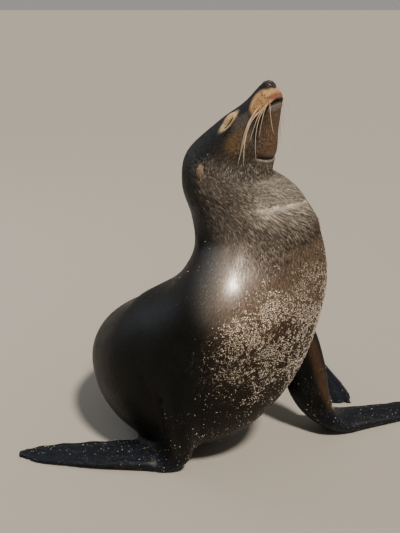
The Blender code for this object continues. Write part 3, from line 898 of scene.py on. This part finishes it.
# Sand: thick on the front of the chest and belly, thin on forearms and flippers.
chest = ease(x - np.interp(z, *zip(*SAND_EDGE)), -0.012, 0.022) * ease(under, -0.15, 0.30) * fore * on_body
# Towards the bottom and the left of the belly the sand thins: sparser sand, and painted shade.
chest *= ease(z, 0.56, 0.31) * (0.30 + 0.70 * ease(z, 0.12, 0.30)) * (0.35 + 0.65 * ease(x, 0.06, 0.16))
sand = np.maximum(chest, 0.03 * ease(z, 0.28, 0.40) * (1 - ease(behind, 0.10, 0.04)))
sand = sand + 0.10 * bare * (outward[:, 2] > 0.1) + 0.12 * limb * (z < 0.16) * ease(y, -0.02, -0.1)
# Pale hair tips, ruffled on neck, throat and chest; partly painted sunlight and highlight.
frost = neck * ease(under, -0.50, 0.00) * (0.45 + 0.55 * ease(z, 0.45, 0.54))
# Paler on the sunlit right of the neck and in its sunlit patch: painted sunlight.
frost *= 0.62 + 0.55 * ease(x, 0.11, 0.21)
frost *= 1 + 2.0 * sunlit
frost = np.maximum(frost, 0.30 * ease(under, 0.0, 0.5) * fore * ease(z, 0.15, 0.35))
# Paler along the throat's painted highlights too.
frost = np.maximum(frost, 0.7 * pale)
# Wet shine: strongest over the shoulder, faint on the dark back and flanks.
shine = 0.9 * hump(from_shoulder(points), 0.066)
for share, where in ((0.25, nose), (0.06, bare), (0.12, neck), (0.10, on_head), (0.04, 1.0)):
    shine = np.maximum(shine, share * where)
streaks = 1 - np.maximum.reduce([bare, nose, np.clip(blend * 1.3, 0, 1), leaf])
# On the right of the neck the hair lies aslant, down and forwards.
slant = NECK_SLANT * (neck * ease(y, -0.04, -0.14))[:, None]
lie = np.cos(slant) * lie + np.sin(slant) * np.cross(outward, lie)
loft_girths = [
    np.linalg.norm(np.roll(rings, 1, axis=1) - rings, axis=-1).sum(-1).max() for rings in lofts.values()
]
girth = np.array(loft_girths)[nearest] / (2 * math.pi)
flow = np.stack([way_along, girth * np.cos(turn), girth * np.sin(turn)], -1)


def add_values(data, name, values, kind="FLOAT", field="value"):
    """Keeps a value of each vertex under this name."""
    layer = data.attributes.new(name, kind, "POINT")
    layer.data.foreach_set(field, np.asarray(values, np.float32).ravel())


add_values(skin_data, "tone", np.hstack([tone, np.ones((len(tone), 1))]), "FLOAT_COLOR", "color")
for name, values in (("sand", sand), ("frost", frost), ("bare", bare), ("nose", nose), ("shine", shine),
                     ("streaks", streaks), ("chart", nearest)):
    add_values(skin_data, name, values)
for name, values in (("lie", lie), ("outward", outward), ("flow", flow)):
    add_values(skin_data, name, values, "FLOAT_VECTOR", "vector")


def node(tree, kind, inputs=(), output=0, **settings):
    """One output of a new node with these settings and, by number or name, inputs."""
    made = tree.nodes.new(kind)
    made.location = (190 * (len(tree.nodes) % 10), -190 * (len(tree.nodes) // 10))
    for key, value in settings.items():
        setattr(made, key, value)
    for key, value in dict(inputs).items():
        if isinstance(value, bpy.types.NodeSocket):
            tree.links.new(value, made.inputs[key])
        else:
            made.inputs[key].default_value = value
    return made.outputs[output]


def combined(tree, operation, *values):
    """The values added, multiplied or otherwise combined, from the first to the last."""
    result = values[0]
    for value in values[1:]:
        result = node(tree, "ShaderNodeMath", {0: result, 1: value}, operation=operation)
    return result


def product(tree, *values):
    return combined(tree, "MULTIPLY", *values)


def total(tree, *values):
    return combined(tree, "ADD", *values)


def remapped(tree, value, low, high, to_low, to_high):
    return node(tree, "ShaderNodeMapRange", {0: value, 1: low, 2: high, 3: to_low, 4: to_high})


def noise(tree, place, scale, detail, distortion=0.0):
    inputs = {"Vector": place, "Scale": scale, "Detail": detail, "Distortion": distortion}
    return node(tree, "ShaderNodeTexNoise", inputs)


def attribute(tree, name, output="Fac"):
    return node(tree, "ShaderNodeAttribute", (), output, attribute_name=name)


def mixed(tree, share, a, b):
    """Colour a, and b as far as share says; the Mix node takes colours at 6 and 7 and gives one at 2."""
    a, b = (value if isinstance(value, bpy.types.NodeSocket) else (*value, 1.0) for value in (a, b))
    return node(tree, "ShaderNodeMix", {0: share, 6: a, 7: b}, 2, data_type="RGBA")


def bump(tree, height, strength, distance, **normal):
    inputs = {"Strength": strength, "Distance": distance, "Height": height, **normal}
    return node(tree, "ShaderNodeBump", inputs)


def feed(tree, shader, inputs):
    for title, value in inputs.items():
        tree.links.new(value, shader.inputs[title])


# The wet film over hide and hair: glossy only where the attribute "shine" is high.
WET_FILM = {"Coat IOR": 2.0, "Coat Roughness": 0.42, "Coat Tint": (1.0, 0.90, 0.78, 1.0)}
# How often the patterns of the hide repeat over a metre; the streaks of the fur along it and across it.
FUR_STREAKS = (70.0, 420.0, 420.0)
CLUMPS, WRINKLES, PORES, SPECKS, FUR_GRAIN = 26.0, 75.0, 330.0, 260.0, 900.0
LEATHER_DARK, LEATHER_BLUE = (0.0012, 0.0020, 0.0040), (0.0038, 0.0062, 0.0115)
SAND_SPECK = (0.42, 0.36, 0.29)
LEATHER_ROUGH, NOSE_ROUGH, SPECK_ROUGH = 0.46, 0.30, 0.90


def wet_shine(tree):
    shine = attribute(tree, "shine")
    return {
        "Coat Weight": product(tree, shine, 0.85),
        "Specular IOR Level": remapped(tree, shine, 0.03, 0.25, 0.12, 0.50),
    }


def make_hide_material():
    """Wet hide: short fur as fine streaks along the lie, bare leather on the flippers, a smooth nose."""
    material, tree, shader = new_material("wet hide", {"IOR": 1.38, **WET_FILM})
    bare, nose, streaks, sand = (attribute(tree, name) for name in ("bare", "nose", "streaks", "sand"))
    # Fur: streaks a few millimetres long, broken up by a slower unevenness.
    flow = attribute(tree, "flow", "Vector")
    stretched = node(tree, "ShaderNodeMapping", {"Vector": flow, "Scale": FUR_STREAKS})
    hair = noise(tree, stretched, 1.0, 3.0)
    place = node(tree, "ShaderNodeTexCoord", (), "Object")
    clump = noise(tree, place, CLUMPS, 4.0)
    grain = noise(tree, place, FUR_GRAIN, 2.0)
    wrinkles = noise(tree, place, WRINKLES, 5.0, 0.6)
    cells = {"Vector": place, "Scale": PORES}
    pores = node(tree, "ShaderNodeTexVoronoi", cells, "Distance", feature="DISTANCE_TO_EDGE")
    # Colour: darker and lighter streaks, and rims of blue grey on the leather.
    lighter = remapped(tree, hair, 0.35, 0.75, 0.72, 1.45)
    uneven = remapped(tree, clump, 0.30, 0.70, 0.80, 1.22)
    shade = {0: attribute(tree, "tone", "Color"), "Scale": product(tree, lighter, uneven)}
    shaded = node(tree, "ShaderNodeVectorMath", shade, operation="SCALE")
    leather = mixed(tree, wrinkles, LEATHER_DARK, LEATHER_BLUE)
    colour = mixed(tree, product(tree, bare, 0.8), shaded, leather)
    # Specks of sand too small to be grains.
    specks = node(tree, "ShaderNodeTexVoronoi", {"Vector": place, "Scale": SPECKS}, "Distance")
    fine = remapped(tree, specks, 0.30, 0.12, 0.0, 1.0)
    flecks = product(tree, fine, remapped(tree, clump, 0.42, 0.62, 0.0, 1.0), sand)
    # Gloss: the wet fur is silky, leather duller in its wrinkles, the nose moist.
    rough = remapped(tree, clump, 0.30, 0.70, 0.38, 0.50)
    for share, roughness in ((bare, LEATHER_ROUGH), (nose, NOSE_ROUGH), (flecks, SPECK_ROUGH)):
        rough = node(tree, "ShaderNodeMix", {0: share, 2: rough, 3: roughness})
    # Relief: hair streaks on the fur, pores and wrinkles on leather and nose.
    relief = bump(tree, product(tree, hair, streaks), 0.35, 0.0011)
    relief = bump(tree, product(tree, grain, 0.6), 0.25, 0.0004, Normal=relief)
    creased = total(tree, product(tree, pores, 0.5), wrinkles)
    relief = bump(tree, product(tree, creased, bare), 0.7, 0.0022, Normal=relief)
    relief = bump(tree, product(tree, pores, nose), 0.5, 0.0010, Normal=relief)
    sandy = mixed(tree, flecks, colour, SAND_SPECK)
    feed(tree, shader, {"Base Color": sandy, "Roughness": rough, "Normal": relief, **wet_shine(tree)})
    return material


skin = new_object("skin", skin_data)
skin_data.shade_smooth()
skin_data.materials.append(make_hide_material())
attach(skin, "root")
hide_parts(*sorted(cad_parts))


# ------------------------------------------------------------------------------------------------
# Coat. Short stiff hair, wet and flat, that dries into pointed locks on neck, cheeks and chest. The
# locks are small solid wedges set on the skin along the lie of the hair; they are longest on the
# neck, tiny on the face, and few on the smooth back and flanks.
PATCH = 0.003  # breadth of a lock's patch on the map
MAP_SPAN = 2.6  # metres of skin across the whole map
MAP_GAP = 0.01  # between the rectangles of the lofts on the map
LOCK = (  # across, along, over the skin: a wedge of three corners, three more halfway, and a tip
    (-0.50, 0.0, -0.4),
    (0.50, 0.0, -0.4),
    (0.0, 0.02, 0.7),
    (-0.40, 0.5, -0.2),
    (0.40, 0.5, -0.2),
    (0.0, 0.48, 1.0),
    (0.0, 1.0, 0.1),
)
LOCK_THICKNESS = 0.24  # of its breadth
HAIR_LENGTH, RUFFLED_LENGTH = 0.0080, 0.0150  # of smooth hair, and what ruffling adds
HAIR_BREADTH, RUFFLED_BREADTH = 0.00075, 0.00105
FACE_LENGTH, NAPE_LENGTH, NAPE_BREADTH = 0.0032, 0.0050, 0.00050  # on the face, and what is added behind it
LEAN_WAVES, LEAN, LEAN_JITTER = 55.0, 1.5, 0.10  # how often the lean changes, and how far in radians
LENGTHS, BREADTHS = (0.65, 1.3), (0.7, 1.25)  # least and most of a lock, as shares of what is usual there
# Colours of dry pale tips, and of painted glints on wet tips.
DRY_TIP, PAINTED_GLINT_TIP = (0.260, 0.220, 0.178), (0.50, 0.44, 0.37)


def make_lock():
    """One lock of unit breadth and length; its own numbers say how far along and how high a corner is."""
    faces = [(0, 1, 2)]
    for k in range(3):
        after = (k + 1) % 3
        faces += [(k, 3 + k, 3 + after, after), (3 + k, 6, 3 + after)]
    data = new_mesh("lock", [(x, y, 0.0) for x, y, z in LOCK], faces)
    for name, column in (("across", 0), ("reach", 1), ("rise", 2)):
        add_values(data, name, [corner[column] for corner in LOCK])
    return bpy.data.objects.new("lock", data)


def new_tree(name, inputs):
    """An empty Geometry Nodes tree with these inputs, each input's identifier, and what they give."""
    tree = bpy.data.node_groups.new(name, "GeometryNodeTree")
    tree.interface.new_socket("Geometry", in_out="OUTPUT", socket_type="NodeSocketGeometry")
    keys = {}
    for title, kind in {"Geometry": "Geometry", **inputs}.items():
        socket = tree.interface.new_socket(title, in_out="INPUT", socket_type="NodeSocket" + kind)
        keys[title] = socket.identifier
    return tree, keys, tree.nodes.new("NodeGroupInput").outputs


def end_tree(tree, geometry, material):
    """Ends the tree with the material set on the geometry."""
    dressed = node(tree, "GeometryNodeSetMaterial", {"Geometry": geometry, "Material": material})
    tree.links.new(dressed, tree.nodes.new("NodeGroupOutput").inputs[0])


def named(tree, *names, data_type="FLOAT"):
    """The attributes of these names, as fields."""
    kind = "GeometryNodeInputNamedAttribute"
    return [node(tree, kind, {"Name": name}, data_type=data_type) for name in names]


def stored(tree, geometry, name, value):
    """The geometry with this value kept under this name on its points."""
    inputs = {"Geometry": geometry, "Name": name, "Value": value}
    return node(tree, "GeometryNodeStoreNamedAttribute", inputs, data_type="FLOAT", domain="POINT")


def random_value(tree, low, high, seed):
    return node(tree, "FunctionNodeRandomValue", {2: low, 3: high, "Seed": seed}, 1, data_type="FLOAT")


def spread_copies(tree, given, piece, marks, **settings):
    """Real copies of the piece over the given mesh, as densely as its "thick" number says."""
    inputs = {"Mesh": given["Geometry"], "Density": named(tree, "thick")[0], "Seed": given["Seed"]}
    points = node(tree, "GeometryNodeDistributePointsOnFaces", inputs, distribute_method="RANDOM")
    for name, value in marks.items():
        points = stored(tree, points, name, value)
    copy = node(tree, "GeometryNodeObjectInfo", {"Object": piece}, "Geometry")
    inputs = {"Points": points, "Instance": copy, **settings}
    copies = node(tree, "GeometryNodeInstanceOnPoints", inputs)
    return node(tree, "GeometryNodeRealizeInstances", {0: copies})


def grown(name, data, tree, keys, values):
    """What the tree grows on the given mesh, as a plain mesh."""
    data.name = name
    obj = new_object(name, data)
    modifier = obj.modifiers.new("grow", "NODES")
    modifier.node_group = tree
    for title, value in values.items():
        modifier[keys[title]] = value
    return evaluated_mesh(obj)


def keep_values(data, *kept):
    """Removes the vertex values that no material reads."""
    layers = [layer for layer in data.attributes if layer.domain == "POINT" and not layer.is_required]
    for name in [layer.name for layer in layers if layer.name not in kept and not layer.is_internal]:
        data.attributes.remove(data.attributes[name])


def make_coat_tree():
    """Locks over the skin where its "thick" number asks for them, laid along its "lie"."""
    inputs = {"Lock": "Object", "Material": "Material", "Seed": "Int", "Thickness": "Float"}
    tree, keys, given = new_tree("coat", inputs)
    ruffle, length, width, lift, shade, rise, reach, real_length, real_width = named(
        tree, "ruffle", "length", "width", "lift", "shade", "rise", "reach", "real_length", "real_width"
    )
    outward, lie = named(tree, "outward", "lie", data_type="FLOAT_VECTOR")
    place = node(tree, "GeometryNodeInputPosition")
    # Neighbours lean together in slow waves, which parts the wet hair into clumps.
    lean = combined(tree, "SUBTRACT", noise(tree, place, LEAN_WAVES, 2.0), 0.5)
    lean = product(tree, lean, product(tree, ruffle, LEAN))
    yaw = total(tree, lean, random_value(tree, -LEAN_JITTER, LEAN_JITTER, 11))
    axes = {"primary_axis": "Z", "secondary_axis": "Y"}
    upright = node(tree, "FunctionNodeAxesToRotation", {0: outward, 1: lie}, **axes)
    turned = node(tree, "FunctionNodeAxisAngleToRotation", {"Axis": (0.0, 0.0, 1.0), "Angle": yaw})
    rotation = node(tree, "FunctionNodeRotateRotation", {0: upright, 1: turned}, rotation_space="LOCAL")
    marks = {
        "real_length": product(tree, length, random_value(tree, *LENGTHS, 12)),
        "real_width": product(tree, width, random_value(tree, *BREADTHS, 13)),
        "shade": random_value(tree, 0.0, 1.0, 14),
    }
    size = node(tree, "ShaderNodeCombineXYZ", {0: real_width, 1: real_length, 2: 1.0})
    real = spread_copies(tree, given, given["Lock"], marks, Rotation=rotation, Scale=size)
    # Each corner is drawn to the skin under it, and raised by the lock's own shape.
    ground, up = (
        node(tree, "GeometryNodeSampleNearestSurface", data_type="FLOAT_VECTOR",
             inputs={"Mesh": given["Geometry"], "Value": value, "Sample Position": place})
        for value in (place, outward)
    )
    ruffled = total(tree, ruffle, 0.25)
    body = product(tree, rise, real_width, given["Thickness"], ruffled)
    curve = combined(tree, "POWER", reach, 1.6)
    tip = product(tree, lift, real_length, curve, total(tree, shade, 0.3))
    raised = {0: up, "Scale": total(tree, body, tip)}
    goal = {0: ground, 1: node(tree, "ShaderNodeVectorMath", raised, operation="SCALE")}
    goal = node(tree, "ShaderNodeVectorMath", goal, operation="ADD")
    laid = node(tree, "GeometryNodeSetPosition", {"Geometry": real, "Position": goal})
    end_tree(tree, laid, given["Material"])
    return tree, keys


def make_coat_material():
    """Hair: the hide's own colour, each lock lighter or darker, with dry pale tips and painted glints."""
    material, tree, shader = new_material("coat", {"IOR": 1.42, **WET_FILM})
    shade, reach, frost = (attribute(tree, name) for name in ("shade", "reach", "frost"))
    lighter = {0: attribute(tree, "tone", "Color"), "Scale": remapped(tree, shade, 0.0, 1.0, 0.36, 1.62)}
    colour = node(tree, "ShaderNodeVectorMath", lighter, operation="SCALE")
    dry = product(tree, remapped(tree, shade, 0.45, 0.95, 0.0, 1.0), frost, reach)
    colour = mixed(tree, dry, colour, DRY_TIP)
    # Some locks get a bright tip: a painted glint of wet hair.
    glint_share = product(tree, remapped(tree, shade, 0.88, 0.98, 0.0, 0.65), frost)
    grain = noise(tree, node(tree, "ShaderNodeTexCoord", (), "Object"), 1400.0, 2.0)
    feed(tree, shader, {
        "Base Color": mixed(tree, glint_share, colour, PAINTED_GLINT_TIP),
        "Roughness": remapped(tree, shade, 0.0, 1.0, 0.34, 0.52),
        "Normal": bump(tree, grain, 0.4, 0.0004),
        **wet_shine(tree),
    })
    return material


def chart_starts():
    """Lower left corner of each loft's rectangle on the map, in rows that don't overlap."""
    starts, u, v, row = [], MAP_GAP, MAP_GAP, 0.0
    for rings, girth in zip(lofts.values(), loft_girths):
        wide = spine(rings)[0][-1] / MAP_SPAN
        if u + wide > 1 - MAP_GAP:
            u, v, row = MAP_GAP, v + row + MAP_GAP, 0.0
        starts.append((u, v))
        u += wide + MAP_GAP
        row = max(row, girth / MAP_SPAN)
    return np.array(starts)


def add_coat_map(data):
    """OFBake: every lock is a small patch at its root's place on the map of the skin."""
    flow = read(data.attributes["flow"].data, "vector")
    along, out, up = np.repeat(flow[:: len(LOCK)], len(LOCK), axis=0).T
    chart = np.round(read(data.attributes["chart"].data, "value", 1)).astype(int)
    start = chart_starts()[np.clip(np.repeat(chart[:: len(LOCK)], len(LOCK)), 0, len(lofts) - 1)]
    turn_share = np.arctan2(up, out) / (2 * math.pi) + 0.5
    u = start[:, 0] + along / MAP_SPAN
    v = start[:, 1] + turn_share * (np.hypot(out, up) * 2 * math.pi) / MAP_SPAN
    u += (read(data.attributes["reach"].data, "value", 1) - 0.5) * PATCH
    v += read(data.attributes["across"].data, "value", 1) * PATCH
    ends = read(data.loops, "vertex_index", 1, np.int32)
    layer = data.uv_layers.new(name="OFBake")
    layer.data.foreach_set("uv", np.stack([u[ends], v[ends]], -1).astype(np.float32).ravel())
    data.uv_layers.active = layer


def vertex_areas(data):
    """Area of skin that belongs to each vertex."""
    data.calc_loop_triangles()
    corners = read(data.loop_triangles, "vertices", 3, np.int32)
    a, b, c = (points[corners[:, k]] for k in range(3))
    area = np.linalg.norm(np.cross(b - a, c - a), axis=-1) / 2
    return np.bincount(corners.ravel(), np.repeat(area / 3, 3), len(points))


# What the coat is like from place to place: length, breadth, how ruffled and how far it stands out.
crease = hump(path_distance(points, THROAT_FOLD)[0], 0.009)
muzzle_pad = np.maximum(pad, front)
ruffle = np.clip(frost * 1.1, 0.12, 1.0)
back_of_head = ease(behind, 0.03, 0.16)
length = np.where(
    on_head > 0.5, FACE_LENGTH + NAPE_LENGTH * back_of_head, HAIR_LENGTH + RUFFLED_LENGTH * ruffle
)
length *= 1 - 0.45 * np.maximum(lid, muzzle_pad)
length *= 1 - 0.65 * crease
width = HAIR_BREADTH + np.where(on_head > 0.5, NAPE_BREADTH * back_of_head, RUFFLED_BREADTH * ruffle)
width *= 1 - 0.35 * crease
lift = 0.01 + 0.09 * np.maximum(frost, 0) ** 1.5
hairy = (1 - bare) * (1 - nose) * (z > 0.004) * (1 - leaf) * (1 - np.clip(shut * 2, 0, 1))
for name, values in (("length", length), ("width", width), ("ruffle", ruffle), ("lift", lift)):
    add_values(skin_data, name, relax(values, net, 0.5, 8))
lock = make_lock()
coat_tree = make_coat_tree()
coat_material = make_coat_material()
skin_area = vertex_areas(skin_data)


def make_coat_piece(name, where, locks, seed):
    """So many locks, shared out over the skin as where says."""
    per_area = where * hairy
    per_area = per_area * locks / max((per_area * skin_area).sum(), 1e-9)
    data = skin_data.copy()
    add_values(data, "thick", per_area)
    values = {"Lock": lock, "Material": coat_material, "Seed": seed, "Thickness": LOCK_THICKNESS}
    coat = grown(name, data, *coat_tree, values)
    add_coat_map(coat)
    keep_values(coat, "tone", "shade", "reach", "frost", "shine")
    coat.shade_smooth()
    piece = new_object(name, coat)
    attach(piece, "root")


# Where each piece of the coat lies; the neck is parted along its middle. Then how many locks, and a seed.
neck_part = ease(z, 0.42, 0.47) * ease(behind, 0.110, 0.125)
ruffled = neck_part * (0.12 + 0.88 * np.clip(frost * 1.6, 0, 1))
right_way = (points - np.array((0.12, -0.16, 0.0))) @ np.array((-0.82, -0.57, 0.0)) > 0
face_part = ease(behind, 0.120, 0.105)
crown_part = ease(behind, 0.100, 0.120) * ease(behind, 0.26, 0.20) * (1 - np.clip(frost * 3, 0, 1))
chest_part = ease(z, 0.48, 0.42) * ease(under, -0.25, 0.10) * ease(y, 0.00, -0.10) * on_body
back_part = 1 - np.maximum.reduce([neck_part, face_part, chest_part])
finer = face_part * (1 - 0.6 * muzzle_pad) / np.maximum(length * width, 1e-7)
make_coat_piece("coat_face", finer, 19000, 21)
make_coat_piece("coat_cheeks_and_nape", crown_part, 14000, 22)
make_coat_piece("coat_neck_right", ruffled * right_way, 10000, 23)
make_coat_piece("coat_neck_left", ruffled * ~right_way, 10000, 24)
make_coat_piece("coat_chest", chest_part, 11000, 25)
make_coat_piece("coat_back_and_flanks", back_part, 9000, 26)


# ------------------------------------------------------------------------------------------------
# Sand. Dry beach sand that sticks to the wet hair in a lace of small clumps, thick on the front of
# chest and belly and thin on throat and flippers. Each grain is a small uneven pebble on the skin.
SMALLEST_GRAIN, LARGEST_GRAIN = 0.0008, 0.0024
GRAIN_TRIES = 57000  # places tried; the lace pattern keeps about a third of them
GRAIN = (  # an uneven pebble: four corners round it, one over and one under
    (0.55, 0.05, 0.0),
    (0.0, 0.45, 0.05),
    (-0.5, 0.0, 0.05),
    (0.05, -0.5, 0.0),
    (0.05, 0.0, 0.42),
    (0.0, 0.05, -0.35),
)
LACE_FINE, LACE_SLOW = 140.0, 20.0  # how often the two patterns of the lace repeat
SLOW_SHARE, SANDY_SHARE, LACE_JITTER = 0.80, 0.30, 0.025  # what else counts, beside the fine pattern
LACE_LEVEL, STRAY_LEVEL = 0.77, 0.95  # over the first a grain stays; over the second a stray one does
GRAIN_RISE = 0.0009  # from the skin to the grain's middle
DARK_GRAIN, PALE_GRAIN, GRAIN_SPECK = (0.19, 0.155, 0.115), (0.78, 0.70, 0.58), (0.22, 0.17, 0.12)


def make_grain():
    faces = []
    for k in range(4):
        faces += [(k, (k + 1) % 4, 4), ((k + 1) % 4, k, 5)]
    return bpy.data.objects.new("grain", new_mesh("grain", GRAIN, faces))


def make_sand_tree():
    """Grains where the skin's "sand" number and a lace of slow noise meet."""
    sizes = {"Smallest": "Float", "Largest": "Float"}
    tree, keys, given = new_tree("sand", {"Grain": "Object", "Material": "Material", "Seed": "Int", **sizes})
    place = node(tree, "GeometryNodeInputPosition")
    slow = combined(tree, "SUBTRACT", noise(tree, place, LACE_SLOW, 2.0), 0.5)
    slow = product(tree, slow, SLOW_SHARE)
    sandy = product(tree, named(tree, "sand")[0], SANDY_SHARE)
    fine = noise(tree, place, LACE_FINE, 1.5)
    chance = total(tree, fine, slow, sandy, random_value(tree, -LACE_JITTER, LACE_JITTER, 31))
    stray = combined(tree, "GREATER_THAN", random_value(tree, 0.0, 1.0, 35), STRAY_LEVEL)
    kept = combined(tree, "MAXIMUM", combined(tree, "GREATER_THAN", chance, LACE_LEVEL), stray)
    full_turns = {0: (0.0, 0.0, 0.0), 1: (6.28, 6.28, 6.28), "Seed": 32}
    spin = node(tree, "FunctionNodeRandomValue", full_turns, data_type="FLOAT_VECTOR")
    part = combined(tree, "POWER", random_value(tree, 0.0, 1.0, 33), 1.8)
    size = remapped(tree, part, 0.0, 1.0, given["Smallest"], given["Largest"])
    marks = {"shade": random_value(tree, 0.0, 1.0, 34)}
    real = spread_copies(tree, given, given["Grain"], marks, Selection=kept, Rotation=spin, Scale=size)
    over = {0: named(tree, "outward", data_type="FLOAT_VECTOR")[0], "Scale": GRAIN_RISE}
    over = node(tree, "ShaderNodeVectorMath", over, operation="SCALE")
    raised = node(tree, "GeometryNodeSetPosition", {"Geometry": real, "Offset": over})
    end_tree(tree, raised, given["Material"])
    return tree, keys


def speckled_material(name, roughness, scale, detail, strength, distance):
    """A material with this roughness and a fine relief; its tree, shader and the relief's pattern too."""
    material, tree, shader = new_material(name, {"Roughness": roughness})
    speck = noise(tree, node(tree, "ShaderNodeTexCoord", (), "Object"), scale, detail)
    feed(tree, shader, {"Normal": bump(tree, speck, strength, distance)})
    return material, tree, shader, speck


def make_sand_material():
    """Dry sand: grains from dark to pale, a little dusky in patches."""
    material, tree, shader, speck = speckled_material("beach sand", 0.8, 1500.0, 1.0, 0.5, 0.0004)
    paler = combined(tree, "POWER", attribute(tree, "shade"), 1.5)
    colour = mixed(tree, paler, DARK_GRAIN, PALE_GRAIN)
    feed(tree, shader, {"Base Color": mixed(tree, product(tree, speck, 0.5), colour, GRAIN_SPECK)})
    return material


grain = make_grain()
sandy_skin = skin_data.copy()
sand_share = np.clip(sand, 0, 1)
add_values(sandy_skin, "thick", sand_share * GRAIN_TRIES / (sand_share * skin_area).sum())
sand_values = {"Grain": grain, "Material": make_sand_material(), "Smallest": SMALLEST_GRAIN,
               "Largest": LARGEST_GRAIN, "Seed": 51}
sand_mesh = grown("sand", sandy_skin, *make_sand_tree(), sand_values)
keep_values(sand_mesh, "shade")
sand_piece = new_object("sand", sand_mesh)
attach(sand_piece, "root")
bpy.data.objects.remove(grain)
bpy.data.objects.remove(lock)


# ------------------------------------------------------------------------------------------------
# Whiskers. Stiff pale bristles, round and tapered, one from each of the lower mounds of the pads.
# They lie back along the lips and hang down under their own weight.
WHISKER_RADIUS = 0.00050
WHISKER_SPANS, WHISKER_SIDES = 16, 6
WHISKER_TAPER = 0.22  # breadth of the tip as a share of the root's
WHISKER_SAG = np.array((0.0, 0.0, -0.13))  # how far the heading drops over one span
LONGEST_WHISKER = 0.098
WHISKER_ROOT, WHISKER_TIP = (0.50, 0.33, 0.20), (0.72, 0.62, 0.46)


def whisker_rows():
    """Root, first direction and length of every whisker."""
    rng = np.random.default_rng(7)
    rows = []
    for way in (1, -1):
        here = np.sign(side) == way
        for spot_behind, spot_above, row, k in follicle_places():
            if k + row < 5 or row < 2 or rng.uniform() < 0.45:
                continue
            away = np.hypot(behind - spot_behind, above - spot_above) + 1.0 * ~here
            root = int(away.argmin())
            size = 0.020 + 0.010 * k + 0.008 * row + rng.uniform(-0.008, 0.008)
            start = outward[root] * 0.75 - HEAD_FORWARD * 0.55 + rng.normal(0, 0.07, 3)
            rows.append((points[root] - outward[root] * 0.001, unit(start), min(size, LONGEST_WHISKER)))
    return rows


def whisker_lines():
    """A mesh of lines, one down the middle of each whisker; "reach" is 0 at the root and 1 at the tip."""
    rng = np.random.default_rng(17)
    places, spans, reach = [], [], []
    for spot, heading, size in whisker_rows():
        sway = rng.normal(0, 0.004, 3)
        for k in range(WHISKER_SPANS + 1):
            if k:
                spans.append((len(places) - 1, len(places)))
            places.append(spot)
            reach.append(k / WHISKER_SPANS)
            heading = unit(heading + WHISKER_SAG + sway * k)
            spot = spot + heading * size / WHISKER_SPANS
    data = new_mesh("whiskers", places, [], spans)
    add_values(data, "reach", reach)
    return data


def make_whisker_tree():
    """A tapered round bristle along every line of the given mesh."""
    tree, keys, given = new_tree("whiskers", {"Radius": "Float", "Material": "Material"})
    lines = node(tree, "GeometryNodeMeshToCurve", {0: given["Geometry"]})
    taper = remapped(tree, named(tree, "reach")[0], 0.0, 1.0, 1.0, WHISKER_TAPER)
    radius = product(tree, taper, given["Radius"])
    ring = node(tree, "GeometryNodeCurvePrimitiveCircle", {0: WHISKER_SIDES, "Radius": 1.0})
    sweep = {0: lines, "Profile Curve": ring, "Scale": radius, "Fill Caps": True}
    real = node(tree, "GeometryNodeRealizeInstances", {0: node(tree, "GeometryNodeCurveToMesh", sweep)})
    end_tree(tree, real, given["Material"])
    return tree, keys


def make_whisker_material():
    """Horny bristle: brown at the root, pale towards the tip."""
    material, tree, shader, _ = speckled_material("whisker", 0.38, 900.0, 1.0, 0.3, 0.0002)
    feed(tree, shader, {"Base Color": mixed(tree, attribute(tree, "reach"), WHISKER_ROOT, WHISKER_TIP)})
    return material


whisker_values = {"Radius": WHISKER_RADIUS, "Material": make_whisker_material()}
whisker_mesh = grown("whiskers", whisker_lines(), *make_whisker_tree(), whisker_values)
whiskers = new_object("whiskers", whisker_mesh)
whiskers.data.shade_smooth()
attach(whiskers, "root")


# ------------------------------------------------------------------------------------------------
# Claws. Three dark horn nails on the middle toes of each hind flipper, flat and blunt, grown out of
# the upper side of the web a little short of its edge.
CLAW_LENGTH, CLAW_BREADTH, CLAW_HEIGHT, CLAW_ARCH = 0.017, 0.0062, 0.0030, 0.0012
CLAW_TOES = (-0.40, 0.0, 0.40)  # across the flipper, as a share of its half breadth
CLAW_PLACE = 0.88  # of the way from root to tip
CLAW_ROOT = 0.35  # share of the nail that lies behind that place
CLAW_RINGS, CLAW_SIDES = 7, 10
CLAW_TIP = 0.12  # least share of the full size
HORN_DARK, HORN_PALE = (0.014, 0.012, 0.011), (0.075, 0.058, 0.044)


def claw_rings(rows, toe):
    """One nail as a short tapered loft, sunk a little into the flipper at its root."""
    wanted = CLAW_PLACE * (len(rows) - 1)
    here, ahead = smooth_rows(rows, [wanted, wanted + 0.05])
    forward = unit(ahead[:3] - here[:3])
    lead = unit(here[3:6] - forward * (here[3:6] @ forward))
    up = np.cross(forward, lead)
    up *= 1 if up[2] > 0 else -1
    centre = here[:3] + lead * here[6] * toe + up * here[7] * math.sqrt(max(1 - toe * toe, 0)) * 0.85
    rings = []
    for t in np.arange(CLAW_RINGS) / (CLAW_RINGS - 1):
        size = max((1 - t**2.2) ** 0.5 * (0.75 + 0.35 * t), CLAW_TIP)
        middle = centre + forward * CLAW_LENGTH * (t - CLAW_ROOT) + up * (CLAW_ARCH * math.sin(math.pi * t))
        for angle in round_angles(CLAW_SIDES):
            across = lead * math.cos(angle) * CLAW_BREADTH / 2 * size
            rings.append(middle + across + up * math.sin(angle) * CLAW_HEIGHT / 2 * size)
    return rings


def make_claws():
    """The nails of both hind flippers in one mesh, faces outwards."""
    corners, faces = [], []
    for name in ("left_hind", "right_hind"):
        for toe in CLAW_TOES:
            faces += loft_faces(CLAW_RINGS, CLAW_SIDES, len(corners))
            corners += claw_rings(LIMBS[name], toe)
    data = new_mesh("claws", corners, faces)
    face_outwards(data)
    data.shade_smooth()
    return data


def make_claw_material():
    """Dark horn with fine ridges."""
    material, tree, shader, ridges = speckled_material("claw horn", 0.32, 420.0, 3.0, 0.3, 0.0003)
    feed(tree, shader, {"Base Color": mixed(tree, ridges, HORN_DARK, HORN_PALE)})
    return material


claws = new_object("claws", make_claws())
claws.data.materials.append(make_claw_material())
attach(claws, "root")
